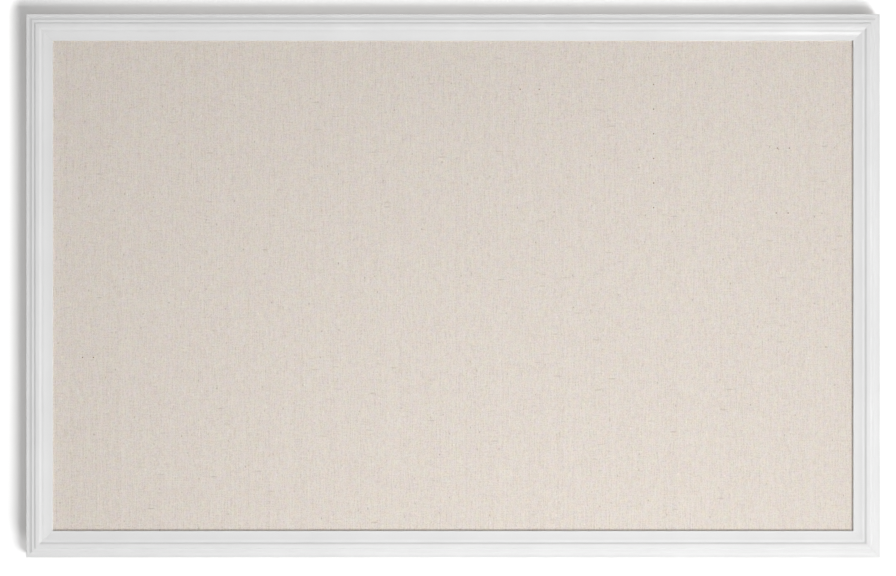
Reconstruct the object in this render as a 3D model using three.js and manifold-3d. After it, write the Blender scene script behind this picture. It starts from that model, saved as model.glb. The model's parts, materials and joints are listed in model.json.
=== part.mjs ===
// Linen bulletin board: a mitred, moulded white frame that holds a linen-covered pin panel.
// Turn buttons hold the panel in the frame's rebate, two ring hangers carry the board on the
// wall, and rubber bumpers keep its back off the wall.
//
// Units are millimetres. The board is drawn with x to the right, y up and z from the wall
// towards the room. The outer group turns that drawing so that +Z is up, the room is on the
// -Y side and the wall is the plane Y = 0. The origin is the middle of the board on the wall.
import * as THREE from "three";
import { mergeVertices } from "three/addons/utils/BufferGeometryUtils.js";
import Module from "manifold-3d";

const wasm = await Module();
wasm.setup();

// Overall size of the frame
const frameWidth = 762;
const frameHeight = 485;

// Clearances
const seatGap = 0.2; // between pieces that rest on each other
const runningGap = 0.3; // between a pin and the piece that turns on it
const mitreGap = 0.2; // hairline between the two faces of a mitre
const panelPlay = 0.8; // room around the panel in the rebate

// Panel layers
const linenThickness = 0.7;
const linenHem = 22; // linen turned over onto the back of the core
const fieldRise = 0.1; // the open linen stands proud of its rim under the frame
const fieldMargin = 1; // the rim that the frame presses reaches this far into the opening
const coreThickness = 4.8;
const backingThickness = 2.6;

// Widths across the moulding, from the outer edge to the sight edge
const outerBandWidth = 1.9;
const coveWidth = 3.3;
const filletWidth = 2.7;
const riserWidth = 0.25;
const crownWidth = 3.5;
const dropWidth = 2.5;
const stepWidth = 1.75;
const scoopWidth = 7.45;
const sightRadius = 0.45;
const rebateWidth = 6.5;

// Heights of the moulding, counted from the sight edge outwards
const lipThickness = 2.9;
const scoopFall = 0.95;
const scoopEntrySlope = 0.23; // fall per unit of width where the scoop leaves the step
const dropHeight = 1.2;
const shoulderHeight = 0.3;
const riserHeight = 0.9;
const coveRise = 1.2;
const covePull = 0.58; // share of the cove's width at which its curve starts to climb
const outerEdgeRadius = 0.5;

// Wedge nails across the mitres, driven in from the back
const nailInsets = { outer: 4.5, inner: 11.5 };
const nailLeg = 5;
const nailThickness = 0.8;
const nailLength = 8;

// Pan-head screws
const screwHeadRadius = 3.3;
const screwHeadHeight = 1.9;
const screwRimHeight = 0.7;
const screwShankRadius = 1.75;
const screwBite = 9; // length of shank in the frame
const screwTip = 3;
const recessLength = 3.4;
const recessWidth = 0.9;
const recessDepth = 1.1;

// Turn buttons
const buttonThickness = 1.2;
const buttonEyeRadius = 5.5;
const buttonTipRadius = 3.8;
const buttonBite = 8; // how far a button reaches over the panel
const longSideSpacing = 240;
const shortSideSpacing = 140;

// Ring hangers
const hangerDrop = 110; // from the frame's top edge down to the ring's pivot
const strapWidth = 9;
const strapThickness = 0.8; // one layer of the folded strap
const strapScrewClear = 1; // from the lowered ring to the screw's head
const strapEnd = 5; // strap below the screw
const wireDiameter = 2;
const ringCorner = 2;
const ringStraight = 3;
const ringSideGap = 1; // between the strap's edge and the ring's side
const wireButtGap = 0.5; // between the wire's two ends, inside the strap

// Wall bumpers
const bumperHeight = 5;
const bumperBaseRadius = 6;
const bumperFaceRadius = 4.6;
const bumperEdge = 0.8;
const bumperFromCorner = 40;

// Smoothness
const curveSegments = 5;
const roundSegments = 16;
const screwSegments = 12;
const wireSides = 8;
const wireSteps = 36;

// Worked-out sizes
const railWidth =
  outerBandWidth +
  coveWidth +
  filletWidth +
  riserWidth +
  crownWidth +
  dropWidth +
  stepWidth +
  scoopWidth +
  sightRadius;
const openingWidth = frameWidth - 2 * railWidth;
const openingHeight = frameHeight - 2 * railWidth;
const panelWidth = openingWidth + 2 * (rebateWidth - panelPlay);
const panelHeight = openingHeight + 2 * (rebateWidth - panelPlay);
const coreWidth = panelWidth - 2 * (linenThickness + seatGap);
const coreHeight = panelHeight - 2 * (linenThickness + seatGap);
const coveredDepth = coreThickness + 2 * (linenThickness + seatGap);
const rebateDepth = coveredDepth + backingThickness + 2 * seatGap;
const railBack = bumperHeight + seatGap; // z of the frame's back face
const railBackWidth = railWidth - rebateWidth;
const pivotInset = railBackWidth / 2;
const lipUnderside = railBack + rebateDepth;

const whitePaint = new THREE.MeshStandardMaterial({ color: 0xe4e4e3, roughness: 0.45, metalness: 0 });
const linenCloth = new THREE.MeshStandardMaterial({ color: 0xdbd2c8, roughness: 0.95, metalness: 0 });
const softboard = new THREE.MeshStandardMaterial({ color: 0xa98d68, roughness: 0.95, metalness: 0 });
const hardboard = new THREE.MeshStandardMaterial({ color: 0x7d5b3e, roughness: 0.7, metalness: 0 });
const zincSteel = new THREE.MeshStandardMaterial({ color: 0xb9bcc0, roughness: 0.35, metalness: 1 });
const clearRubber = new THREE.MeshStandardMaterial({ color: 0x4a4a4c, roughness: 0.8, metalness: 0 });

// Turns a profile drawn in x and y and extruded along z into one whose x runs up,
// whose y runs towards the room and whose length runs to the right.
const profileToRail = new THREE.Matrix4().makeBasis(
  new THREE.Vector3(0, 1, 0),
  new THREE.Vector3(0, 0, 1),
  new THREE.Vector3(1, 0, 0),
);

// A closed three.js geometry as a solid for joining and cutting.
function solidOf(geometry) {
  const bare = geometry.clone();
  bare.deleteAttribute("normal");
  bare.deleteAttribute("uv");
  const merged = mergeVertices(bare, 1e-4);
  return new wasm.Manifold(
    new wasm.Mesh({
      numProp: 3,
      vertProperties: merged.attributes.position.array,
      triVerts: new Uint32Array(merged.index.array),
    }),
  );
}

// A solid back as a three.js geometry.
function geometryOf(solid) {
  const { vertProperties, triVerts } = solid.getMesh();
  const geometry = new THREE.BufferGeometry();
  geometry.setAttribute("position", new THREE.BufferAttribute(vertProperties, 3));
  geometry.setIndex(new THREE.BufferAttribute(triVerts, 1));
  geometry.computeVertexNormals();
  return geometry;
}

function addPiece(parent, name, geometry, material) {
  const piece = new THREE.Mesh(geometry, material);
  piece.name = name;
  parent.add(piece);
  return piece;
}

function boxAt(width, height, depth, x, y, z) {
  return new THREE.BoxGeometry(width, height, depth).translate(x, y, z);
}

// A round bar along z from z0 to z1.
function barAlongZ(radius, x, y, z0, z1, segments) {
  return new THREE.CylinderGeometry(radius, radius, z1 - z0, segments)
    .rotateX(Math.PI / 2)
    .translate(x, y, (z0 + z1) / 2);
}

// The moulding's section: x is the distance in from the outer edge, y the height from its back.
// From outside in: flat band, cove, fillet, riser, crown, drop, step, shallow scoop, sight edge, rebate.
function mouldingSection() {
  const sightTop = rebateDepth + lipThickness;
  const stepTop = sightTop + scoopFall;
  const crownTop = stepTop + dropHeight;
  const shoulderBottom = crownTop - shoulderHeight;
  const filletTop = shoulderBottom - riserHeight;
  const bandTop = filletTop - coveRise;
  const coveEnd = outerBandWidth + coveWidth;
  const filletEnd = coveEnd + filletWidth;
  const crownStart = filletEnd + riserWidth;
  const crownEnd = crownStart + crownWidth;
  const dropEnd = crownEnd + dropWidth;
  const stepEnd = dropEnd + stepWidth;
  const sightStart = stepEnd + scoopWidth;
  const section = new THREE.Shape();
  section.moveTo(0, 0);
  section.lineTo(0, bandTop - outerEdgeRadius);
  section.quadraticCurveTo(0, bandTop, outerEdgeRadius, bandTop);
  section.lineTo(outerBandWidth, bandTop);
  section.quadraticCurveTo(outerBandWidth + covePull * coveWidth, bandTop, coveEnd, filletTop);
  section.lineTo(filletEnd, filletTop);
  section.lineTo(crownStart, shoulderBottom);
  section.quadraticCurveTo(crownStart + shoulderHeight, crownTop, (crownStart + crownEnd) / 2, crownTop);
  section.lineTo(crownEnd, crownTop);
  section.bezierCurveTo(
    crownEnd + dropWidth / 3,
    crownTop,
    dropEnd - dropWidth / 3,
    stepTop,
    dropEnd,
    stepTop,
  );
  section.lineTo(stepEnd, stepTop);
  const scoopPull = stepTop - (scoopEntrySlope * scoopWidth) / 2;
  section.quadraticCurveTo((stepEnd + sightStart) / 2, scoopPull, sightStart, sightTop);
  section.quadraticCurveTo(railWidth, sightTop, railWidth, sightTop - sightRadius);
  section.lineTo(railWidth, rebateDepth);
  section.lineTo(railBackWidth, rebateDepth);
  section.lineTo(railBackWidth, 0);
  section.closePath();
  return section;
}

// A rail along x with its outer edge at y = 0 and its back at z = 0, mitred at both ends:
// a point further in from the outer edge ends that much sooner.
function mitredRail(length) {
  const rail = new THREE.ExtrudeGeometry(mouldingSection(), { depth: 1, bevelEnabled: false, curveSegments });
  const at = rail.attributes.position;
  const endGap = mitreGap * Math.SQRT1_2;
  for (let i = 0; i < at.count; i++) {
    const half = length / 2 - at.getX(i) - endGap;
    at.setZ(i, at.getZ(i) > 0.5 ? half : -half);
  }
  return rail.applyMatrix4(profileToRail);
}

// A wedge nail's section: two equal legs at a right angle, grown by a margin, with its corner at 0, 0.
function nailSection(margin) {
  const back = -nailThickness / 2 - margin;
  const front = nailThickness / 2 + margin;
  const tip = nailLeg + margin;
  const section = new THREE.Shape();
  section.moveTo(back, back);
  section.lineTo(tip, back);
  section.lineTo(tip, front);
  section.lineTo(front, front);
  section.lineTo(front, tip);
  section.lineTo(back, tip);
  section.closePath();
  return section;
}

// A wedge nail, or with a margin the slot for one, from z = 0 into the frame.
function wedgeNail(margin) {
  const nail = new THREE.ExtrudeGeometry(nailSection(margin), {
    depth: nailLength + 2 * margin,
    bevelEnabled: false,
  });
  return nail.translate(0, 0, -margin);
}

// A pan-head screw whose shank points along +z, with the underside of its head at z = 0.
function panScrew(length) {
  const profile = [
    new THREE.Vector2(0, length),
    new THREE.Vector2(screwShankRadius, length - screwTip),
    new THREE.Vector2(screwShankRadius, 0),
    new THREE.Vector2(screwHeadRadius, 0),
    new THREE.Vector2(screwHeadRadius, -screwRimHeight),
  ];
  const crown = screwHeadHeight - screwRimHeight;
  const crownSteps = 3;
  for (let i = 1; i <= crownSteps; i++) {
    const turn = ((i / crownSteps) * Math.PI) / 2;
    profile.push(
      new THREE.Vector2(
        i === crownSteps ? 0 : screwHeadRadius * Math.cos(turn),
        -screwRimHeight - crown * Math.sin(turn),
      ),
    );
  }
  const body = new THREE.LatheGeometry(profile.reverse(), screwSegments).rotateX(Math.PI / 2);
  const recessZ = -screwHeadHeight + recessDepth / 2 - seatGap;
  const slot = boxAt(recessLength, recessWidth, recessDepth + 2 * seatGap, 0, 0, recessZ);
  const cross = solidOf(slot).add(solidOf(slot.clone().rotateZ(Math.PI / 2)));
  return geometryOf(solidOf(body).subtract(cross));
}

// A turn button seen from the back: a round eye at 0, 0 with a hole, drawn out to a round tip at y = reach.
function turnButton(reach) {
  const tipY = reach - buttonTipRadius;
  const lean = Math.asin((buttonEyeRadius - buttonTipRadius) / tipY);
  const outline = new THREE.Shape();
  outline.absarc(0, 0, buttonEyeRadius, Math.PI - lean, 2 * Math.PI + lean, false);
  outline.absarc(0, tipY, buttonTipRadius, lean, Math.PI - lean, false);
  outline.closePath();
  const hole = new THREE.Path();
  hole.absarc(0, 0, screwShankRadius + runningGap, 0, 2 * Math.PI, true);
  outline.holes.push(hole);
  return new THREE.ExtrudeGeometry(outline, {
    depth: buttonThickness,
    bevelEnabled: false,
    curveSegments: roundSegments / 2,
  });
}

const wireRadius = wireDiameter / 2;
const knuckleRadius = wireRadius + runningGap + strapThickness;
const ringHalfWidth = strapWidth / 2 + ringSideGap + wireRadius;
const ringReach = ringCorner + ringStraight + ringHalfWidth;
const strapScrewDrop = ringReach + wireRadius + strapScrewClear + screwHeadRadius;
const strapBackZ = knuckleRadius - 2 * strapThickness; // the strap's face on the wall side

// A hanger strap folded around the ring's bar, which lies on the x axis. The folded strip hangs
// down from the bar with its two layers against the frame, and its lower end is rounded.
function hangerStrap() {
  const end = strapScrewDrop + strapEnd;
  const meet = Math.PI - Math.asin(strapBackZ / knuckleRadius);
  const side = new THREE.Shape();
  side.moveTo(-end, knuckleRadius);
  side.lineTo(0, knuckleRadius);
  side.absarc(0, 0, knuckleRadius, Math.PI / 2, meet - 2 * Math.PI, true);
  side.lineTo(-end, strapBackZ);
  side.closePath();
  const bore = new THREE.Path();
  bore.absarc(0, 0, wireRadius + runningGap, 0, 2 * Math.PI, false);
  side.holes.push(bore);
  const folded = new THREE.ExtrudeGeometry(side, {
    depth: strapWidth,
    bevelEnabled: false,
    curveSegments: roundSegments,
  });
  folded.translate(0, 0, -strapWidth / 2).applyMatrix4(profileToRail);

  const half = strapWidth / 2;
  const tallEnough = 2 * knuckleRadius;
  const plan = new THREE.Shape();
  plan.moveTo(half, tallEnough);
  plan.lineTo(-half, tallEnough);
  plan.lineTo(-half, half - end);
  plan.absarc(0, half - end, half, Math.PI, 2 * Math.PI, false);
  plan.closePath();
  const rounded = new THREE.ExtrudeGeometry(plan, {
    depth: 2 * tallEnough,
    bevelEnabled: false,
    curveSegments: roundSegments / 2,
  });
  rounded.translate(0, 0, -tallEnough);
  const hole = barAlongZ(
    screwShankRadius + runningGap,
    0,
    -strapScrewDrop,
    -tallEnough,
    tallEnough,
    roundSegments,
  );
  return geometryOf(solidOf(folded).intersect(solidOf(rounded)).subtract(solidOf(hole)));
}

// A flat outline as a curve in space.
class FlatCurve extends THREE.Curve {
  constructor(outline) {
    super();
    this.outline = outline;
  }
  getPoint(t, target = new THREE.Vector3()) {
    const p = this.outline.getPoint(t);
    return target.set(p.x, p.y, 0);
  }
}

// The hanger's ring: one wire bent to a D, with its straight bar on the x axis and its bow above.
// The wire's two ends meet inside the strap.
function hangerRing() {
  const bend = ringHalfWidth - ringCorner;
  const bowY = ringCorner + ringStraight;
  const line = new THREE.Path();
  line.moveTo(wireButtGap / 2, 0);
  line.lineTo(bend, 0);
  line.absarc(bend, ringCorner, ringCorner, -Math.PI / 2, 0, false);
  line.lineTo(ringHalfWidth, bowY);
  line.absarc(0, bowY, ringHalfWidth, 0, Math.PI, false);
  line.lineTo(-ringHalfWidth, ringCorner);
  line.absarc(-bend, ringCorner, ringCorner, Math.PI, 1.5 * Math.PI, false);
  line.lineTo(-wireButtGap / 2, 0);
  const wire = new THREE.Shape();
  wire.absarc(0, 0, wireRadius, 0, 2 * Math.PI, false);
  return new THREE.ExtrudeGeometry(wire, {
    extrudePath: new FlatCurve(line),
    steps: wireSteps,
    curveSegments: wireSides,
    bevelEnabled: false,
  });
}

// A rubber bumper with its flat wall face at z = 0 and its base towards the frame.
function wallBumper() {
  const profile = [
    new THREE.Vector2(0, 0),
    new THREE.Vector2(bumperFaceRadius - bumperEdge, 0),
    new THREE.Vector2(bumperFaceRadius, bumperEdge),
    new THREE.Vector2(bumperBaseRadius, bumperHeight),
    new THREE.Vector2(0, bumperHeight),
  ];
  return new THREE.LatheGeometry(profile, roundSegments).rotateX(Math.PI / 2);
}

// The linen: a sheet over the core's face, down its edges and turned over onto its back as a hem.
function wrappedLinen() {
  const backZ = lipUnderside - seatGap - coveredDepth;
  const midZ = backZ + coveredDepth / 2;
  const rimZ = backZ + coveredDepth;
  const fieldDepth = linenThickness + fieldRise;
  const fieldWidth = openingWidth - 2 * fieldMargin;
  const fieldHeight = openingHeight - 2 * fieldMargin;
  const outside = boxAt(panelWidth, panelHeight, coveredDepth, 0, 0, midZ);
  const field = boxAt(fieldWidth, fieldHeight, fieldDepth, 0, 0, rimZ + fieldRise - fieldDepth / 2);
  const coreSpace = boxAt(
    coreWidth + 2 * seatGap,
    coreHeight + 2 * seatGap,
    coreThickness + 2 * seatGap,
    0,
    0,
    midZ,
  );
  const betweenHems = boxAt(coreWidth - 2 * linenHem, coreHeight - 2 * linenHem, coveredDepth, 0, 0, backZ);
  return geometryOf(
    solidOf(outside).add(solidOf(field)).subtract(solidOf(coreSpace)).subtract(solidOf(betweenHems)),
  );
}

const buttonReach = railBackWidth - pivotInset + panelPlay + buttonBite;
const buttonZ = railBack - seatGap - buttonThickness; // the button's wall-side face
const buttonScrewLength = seatGap + buttonThickness + seatGap + screwBite;
const strapScrewLength = seatGap + 2 * strapThickness + seatGap + screwBite;
const hangerPivot = new THREE.Vector3(
  frameWidth / 2 - pivotInset,
  frameHeight / 2 - hangerDrop,
  railBack - seatGap - knuckleRadius,
);

// Each side is drawn as the bottom one, with its rail along x, and turned into place about z.
// Its buttons are named in order along x.
const sides = [
  { name: "bottom", quarter: 0, length: frameWidth, offset: frameHeight / 2, step: longSideSpacing,
    buttons: ["left", "middle", "right"] },
  { name: "right", quarter: 1, length: frameHeight, offset: frameWidth / 2, step: shortSideSpacing,
    buttons: ["lower", "upper"] },
  { name: "top", quarter: 2, length: frameWidth, offset: frameHeight / 2, step: longSideSpacing,
    buttons: ["right", "middle", "left"] },
  { name: "left", quarter: 3, length: frameHeight, offset: frameWidth / 2, step: shortSideSpacing,
    buttons: ["upper", "lower"] },
];

// Places along a side of its evenly spaced turn buttons.
function buttonPlaces(side) {
  return side.buttons.map((_, i) => (i - (side.buttons.length - 1) / 2) * side.step);
}

// Where the side's own rail carries a hanger, the screw's place along the rail.
function hangerScrewPlaces(side) {
  const along = hangerPivot.y - strapScrewDrop;
  return { right: [along], left: [-along] }[side.name] ?? [];
}

// One rail with its outer edge at y = 0 and its back at z = 0, with holes for its screws
// and slots for the wedge nails at both of its mitres.
function frameRail(side) {
  let rail = solidOf(mitredRail(side.length));
  for (const x of [...buttonPlaces(side), ...hangerScrewPlaces(side)]) {
    const pilot = barAlongZ(
      screwShankRadius + seatGap,
      x,
      pivotInset,
      -seatGap,
      screwBite + seatGap,
      screwSegments,
    );
    rail = rail.subtract(solidOf(pilot));
  }
  for (const inset of Object.values(nailInsets)) {
    const reach = side.length / 2 - inset;
    const slot = wedgeNail(seatGap);
    rail = rail.subtract(solidOf(slot.clone().translate(-reach, inset, 0)));
    rail = rail.subtract(solidOf(slot.clone().rotateZ(Math.PI / 2).translate(reach, inset, 0)));
  }
  return geometryOf(rail);
}

const board = new THREE.Group();

// Frame rails, with the turn buttons and their screws
for (const side of sides) {
  const place = new THREE.Group();
  place.rotation.z = (side.quarter * Math.PI) / 2;
  board.add(place);
  addPiece(place, `frame_rail_${side.name}`, frameRail(side), whitePaint).position.set(
    0,
    -side.offset,
    railBack,
  );
  buttonPlaces(side).forEach((x, i) => {
    const label = `${side.name}_${side.buttons[i]}`;
    const y = pivotInset - side.offset;
    addPiece(place, `turn_button_${label}`, turnButton(buttonReach), zincSteel).position.set(x, y, buttonZ);
    addPiece(place, `button_screw_${label}`, panScrew(buttonScrewLength), zincSteel).position.set(
      x,
      y,
      buttonZ - seatGap,
    );
  });
}

// Wedge nails at the mitres, each turned to its corner, with a leg in each rail
const corners = [
  { name: "bottom_left", quarter: 0, x: -1, y: -1 },
  { name: "bottom_right", quarter: 1, x: 1, y: -1 },
  { name: "top_right", quarter: 2, x: 1, y: 1 },
  { name: "top_left", quarter: 3, x: -1, y: 1 },
];
for (const corner of corners) {
  for (const [row, inset] of Object.entries(nailInsets)) {
    const nail = addPiece(board, `wedge_nail_${corner.name}_${row}`, wedgeNail(0), zincSteel);
    nail.rotation.z = (corner.quarter * Math.PI) / 2;
    nail.position.set(
      corner.x * (frameWidth / 2 - inset),
      corner.y * (frameHeight / 2 - inset),
      railBack + seatGap / 2,
    );
  }
}

// Pin panel: linen over a soft core, with a hard backing behind
addPiece(board, "linen_cover", wrappedLinen(), linenCloth);
addPiece(board, "pin_core", new THREE.BoxGeometry(coreWidth, coreHeight, coreThickness), softboard)
  .position.z = lipUnderside - seatGap - coveredDepth / 2;
addPiece(board, "backing_board", new THREE.BoxGeometry(panelWidth, panelHeight, backingThickness), hardboard)
  .position.z = railBack + backingThickness / 2;

// Ring hangers on the two side rails
for (const [name, x] of [["left", -1], ["right", 1]]) {
  const hanger = new THREE.Group();
  hanger.position.set(x * hangerPivot.x, hangerPivot.y, hangerPivot.z);
  board.add(hanger);
  addPiece(hanger, `hanger_strap_${name}`, hangerStrap(), zincSteel);
  addPiece(hanger, `hanger_ring_${name}`, hangerRing(), zincSteel);
  addPiece(hanger, `hanger_screw_${name}`, panScrew(strapScrewLength), zincSteel).position.set(
    0,
    -strapScrewDrop,
    strapBackZ - seatGap,
  );
}

// Bumpers at the four corners, on the top and bottom rails
for (const corner of corners) {
  addPiece(board, `wall_bumper_${corner.name}`, wallBumper(), clearRubber).position.set(
    corner.x * (frameWidth / 2 - bumperFromCorner),
    corner.y * (frameHeight / 2 - pivotInset),
    0,
  );
}

// The drawing's y runs up and its z runs into the room.
board.rotation.x = Math.PI / 2;
const bulletinBoard = new THREE.Group();
bulletinBoard.add(board);

export default bulletinBoard;
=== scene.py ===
"""The visible pieces and finishes of a framed linen bulletin board, built round its solid model.

Everything is in metres. The board hangs on the wall plane Y = 0, faces -Y and has +Z up.
"""
import json
import math

import bmesh
import bpy
import numpy as np
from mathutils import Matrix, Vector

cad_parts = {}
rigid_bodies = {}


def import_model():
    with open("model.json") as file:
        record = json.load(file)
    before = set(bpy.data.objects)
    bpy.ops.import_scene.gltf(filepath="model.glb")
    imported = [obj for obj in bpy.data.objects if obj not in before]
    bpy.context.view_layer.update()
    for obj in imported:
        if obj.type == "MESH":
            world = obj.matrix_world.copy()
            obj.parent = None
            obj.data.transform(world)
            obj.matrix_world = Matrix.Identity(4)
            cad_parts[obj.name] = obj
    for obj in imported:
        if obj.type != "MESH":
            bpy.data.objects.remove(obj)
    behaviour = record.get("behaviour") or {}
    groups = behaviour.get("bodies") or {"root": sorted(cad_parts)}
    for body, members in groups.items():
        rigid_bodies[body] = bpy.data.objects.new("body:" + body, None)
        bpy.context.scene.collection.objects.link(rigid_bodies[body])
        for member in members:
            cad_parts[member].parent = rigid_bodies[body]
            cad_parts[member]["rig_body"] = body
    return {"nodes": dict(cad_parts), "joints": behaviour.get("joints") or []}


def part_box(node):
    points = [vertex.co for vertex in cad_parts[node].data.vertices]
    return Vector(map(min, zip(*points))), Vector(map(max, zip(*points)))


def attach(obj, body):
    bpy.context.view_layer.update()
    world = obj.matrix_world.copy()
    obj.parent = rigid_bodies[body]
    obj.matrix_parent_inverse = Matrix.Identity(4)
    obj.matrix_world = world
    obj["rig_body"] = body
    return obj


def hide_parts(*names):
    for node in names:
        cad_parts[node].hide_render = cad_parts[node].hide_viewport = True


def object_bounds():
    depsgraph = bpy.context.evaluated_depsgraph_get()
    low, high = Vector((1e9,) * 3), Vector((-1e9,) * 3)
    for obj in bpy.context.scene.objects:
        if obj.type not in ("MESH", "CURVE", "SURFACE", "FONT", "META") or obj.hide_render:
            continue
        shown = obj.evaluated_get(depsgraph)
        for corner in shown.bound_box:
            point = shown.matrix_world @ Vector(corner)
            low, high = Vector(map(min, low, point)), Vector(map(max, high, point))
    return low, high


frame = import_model()
solid_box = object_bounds()
BOARD_HALF_X = solid_box[1].x
BOARD_HALF_Z = solid_box[1].z

MM = 0.001
WELD_DISTANCE = 1e-7  # points nearer than this are one
SLIVER = 1e-8  # edges shorter than this go
TINY = 1e-9  # keeps a divisor from being nothing
NEAR_QUARTER_TURN = 1.5  # radians, short of where a cosine is nothing

# The photograph's frame and the board's outer edges in it, in pixels
PHOTO_WIDTH = 896
PHOTO_HEIGHT = 576
BOARD_LEFT = 26.2
BOARD_RIGHT = 879.8
BOARD_TOP = 14.1
BOARD_BOTTOM = 557.5

# Camera
LENS = 135.0
SENSOR = 36.0
EDGE_DEPTH_SHARE = 0.78  # how far from the frame's back to its front those outer edges lie

# Light: shares of full light on what a lamp is aimed at
KEY_LAMP = {
    "place": (1.293, -2.037, -1.448),
    "aim": (0.126, 0.0, -0.272),
    "size": 1.70,
    "share": 0.712,
    "spread_degrees": 42.2,
}
GLINT_LAMP = {
    "place": (0.50, -1.5, -0.28),
    "aim": (0.33, 0.0, 0.225),
    "size": 0.16,
    "share": 0.05,
    "spread_degrees": 24.0,
}
BACK_LAMP = {"place": (-1.8, 3.0, 2.0), "aim": (0.0, 0.0, 0.0), "size": 2.4, "share": 0.62}
LAMP_POINTS = 400  # over which a lamp's light is summed
FILL_SHARE = 0.40  # from all round
SKY_TILT = 0.4  # that light is this much stronger from straight above, and weaker from below

# Wall, and how far the board's shadow on it is shifted past the board's edges
WALL_HALF_X = 0.66
WALL_HALF_Z = 0.54
WALL_WHOLE = 0.05  # outside the shadow, to here the wall is whole
WALL_GONE = 0.26  # and from here it is gone
SHADOW_LEFT = 12 * MM
SHADOW_UP = 16 * MM
SHADOW_SHORT_RIGHT = 14 * MM
SHADOW_SHORT_BELOW = 22 * MM
SHADOW_ROUND = 16 * MM
SHADOW_EDGE = (-1 * MM, 12 * MM)
SHADOW_GLOW = 0.06
SHADOW_GLOW_ABOVE = 0.115
SHADOW_GLOW_BESIDE = 0.055
SHADOW_GLOW_POWER = 4  # with which that light falls off from a side's middle to its ends
WALL_GLOW = 0.22
WALL_GLOW_RISE = (20 * MM, 60 * MM)

# Colours, in linear light
WHITE = (1.0, 1.0, 1.0)
WALL_PAINT = (0.92, 0.92, 0.92)
SHADOW_WARMTH = (1.0, 0.97, 0.93)
LINEN_DARK = (0.728, 0.658, 0.590)
LINEN_LIGHT = (0.771, 0.702, 0.637)
PAINT_DARK = (0.752, 0.752, 0.752)
PAINT_LIGHT = (0.778, 0.778, 0.778)
WOOD_DARK = (0.56, 0.43, 0.29)
WOOD_LIGHT = (0.70, 0.58, 0.43)
ZINC_DARK = (0.60, 0.61, 0.63)
ZINC_LIGHT = (0.72, 0.72, 0.71)
HARDBOARD_DARK = (0.135, 0.072, 0.036)
HARDBOARD_STRAND = (0.27, 0.165, 0.092)
HARDBOARD_CLOUD = (0.205, 0.118, 0.062)
SOFTBOARD_DARK = (0.30, 0.20, 0.11)
SOFTBOARD_LIGHT = (0.46, 0.34, 0.21)
RUBBER_DARK = (0.045, 0.045, 0.047)
RUBBER_DUST = (0.12, 0.118, 0.113)

# Moulding: widths from the outer edge inwards
OUTER_BAND = 1.9 * MM
COVE = 3.3 * MM
FILLET = 2.7 * MM
RISER = 0.25 * MM
CROWN = 3.5 * MM
DROP = 2.5 * MM
STEP = 1.75 * MM
SCOOP = 7.45 * MM
SIGHT_RADIUS = 0.45 * MM
REBATE = 6.5 * MM

# Moulding: heights
LIP = 2.9 * MM
SCOOP_FALL = 0.95 * MM
SCOOP_ENTRY_SLOPE = 0.23
DROP_HEIGHT = 1.2 * MM
SHOULDER = 0.3 * MM
RISER_HEIGHT = 0.9 * MM
COVE_RISE = 1.2 * MM
COVE_PULL = 0.58  # share of the cove's width at which the pull of its curve lies
OUTER_RADIUS = 0.5 * MM
BACK_PLANING = 0.2 * MM  # the raw back lies this much inside, so the wedge nails show
MITRE_HAIRLINE = 0.02 * MM

# Moulding: points
OUTLINE_STEP = 0.03 * MM
OUTLINE_POINTS = 120
OUTLINE_TURN_WEIGHT = 1.6
LONG_RAIL_STEPS = 61
SHORT_RAIL_STEPS = 41

# Paint and bare wood
PAINT_SOFTENING = 0.2 * MM  # how far the paint rounds the moulding's arrises
REBATE_COAT = (0.9, 0.15)  # share of paint in the rebate, at the lip and at the back
OVERSPRAY_REACH = (0.0, 1.2 * MM, 4.0 * MM)  # distances from the outer edge over the back
OVERSPRAY_COAT = (0.75, 0.5, 0.0)  # share of paint there
SLOPE_PAINTED_SHADE = 0.07  # how much painted shade darkens the steep faces that look outwards
BAND_PAINTED_SHADE = 0.4  # share of that painted shade on the flat outer band
# Painted light on each rail's paint, the top rail lightest; the rails a quarter turn apart
RAIL_PAINTED_LIGHT = {"rail_bottom": 1.0, "rail_right": 1.0, "rail_top": 1.03, "rail_left": 1.01}
PAINT_ROUGHNESS = 0.21
WOOD_ROUGHNESS = 0.78
PAINT_EDGE = (0.35, 0.6)  # between these coats bare wood turns to paint
RAGGEDNESS = 0.5  # how far mist and drift shift that edge
GRAIN = {"rates": (14.0, 900.0), "detail": 4.0, "roughness": 0.6}  # along the rail and across it
PORES = {"rates": (160.0, 2600.0), "detail": 2.0}
MIST_RATE = 900.0
DRIFT_RATE = 60.0
MOTTLE_RATE = 22.0
MOTTLE_SPAN = (-0.25, 0.25)  # of that noise about 0, from dark paint to light
PEEL_RATE = 650.0
PEEL_RELIEF = 0.015 * MM
PEEL_ROUGHNESS = 0.08
WAVE_RATE = 120.0
WAVE_SHARE = 1.5  # of the peel's relief
GRAIN_SPAN = (0.35, 0.68)  # of the grain's noise, from dark wood to light
GRAIN_RELIEF = 0.10 * MM
PORE_SPAN = (0.62, 0.72)  # of the pores' noise, from none to a full one
PORE_SHADE = 0.25
RAIL_SEED = 7.3  # how far apart in the noise the four rails' grain lies
PORE_SEED = 3.0  # and how far the pores lie from the grain
MITRE_STAIN = 0.3 * MM  # how far the glue of a mitre darkens the bare wood
MITRE_SHADE = 0.5

# Linen and hard backing: sizes
FIELD_GAP = 0.1 * MM  # from the open linen's face to the frame's lip
CLOTH_THICKNESS = 0.5 * MM
CORE_ROUND = 1.2 * MM  # how far the cloth rounds the core's edges
HEM = 22.0 * MM
HEM_GAP = 0.1 * MM
RIPPLE = 0.10 * MM
RIPPLE_MARGIN = 6 * MM  # the cloth is without ripple this far in from its edges
RIPPLE_RISE = 25 * MM
LINEN_GRID = (201, 125)
BACKING_ROUND = 0.5 * MM
BACKING_GRID = (73, 45)

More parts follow.
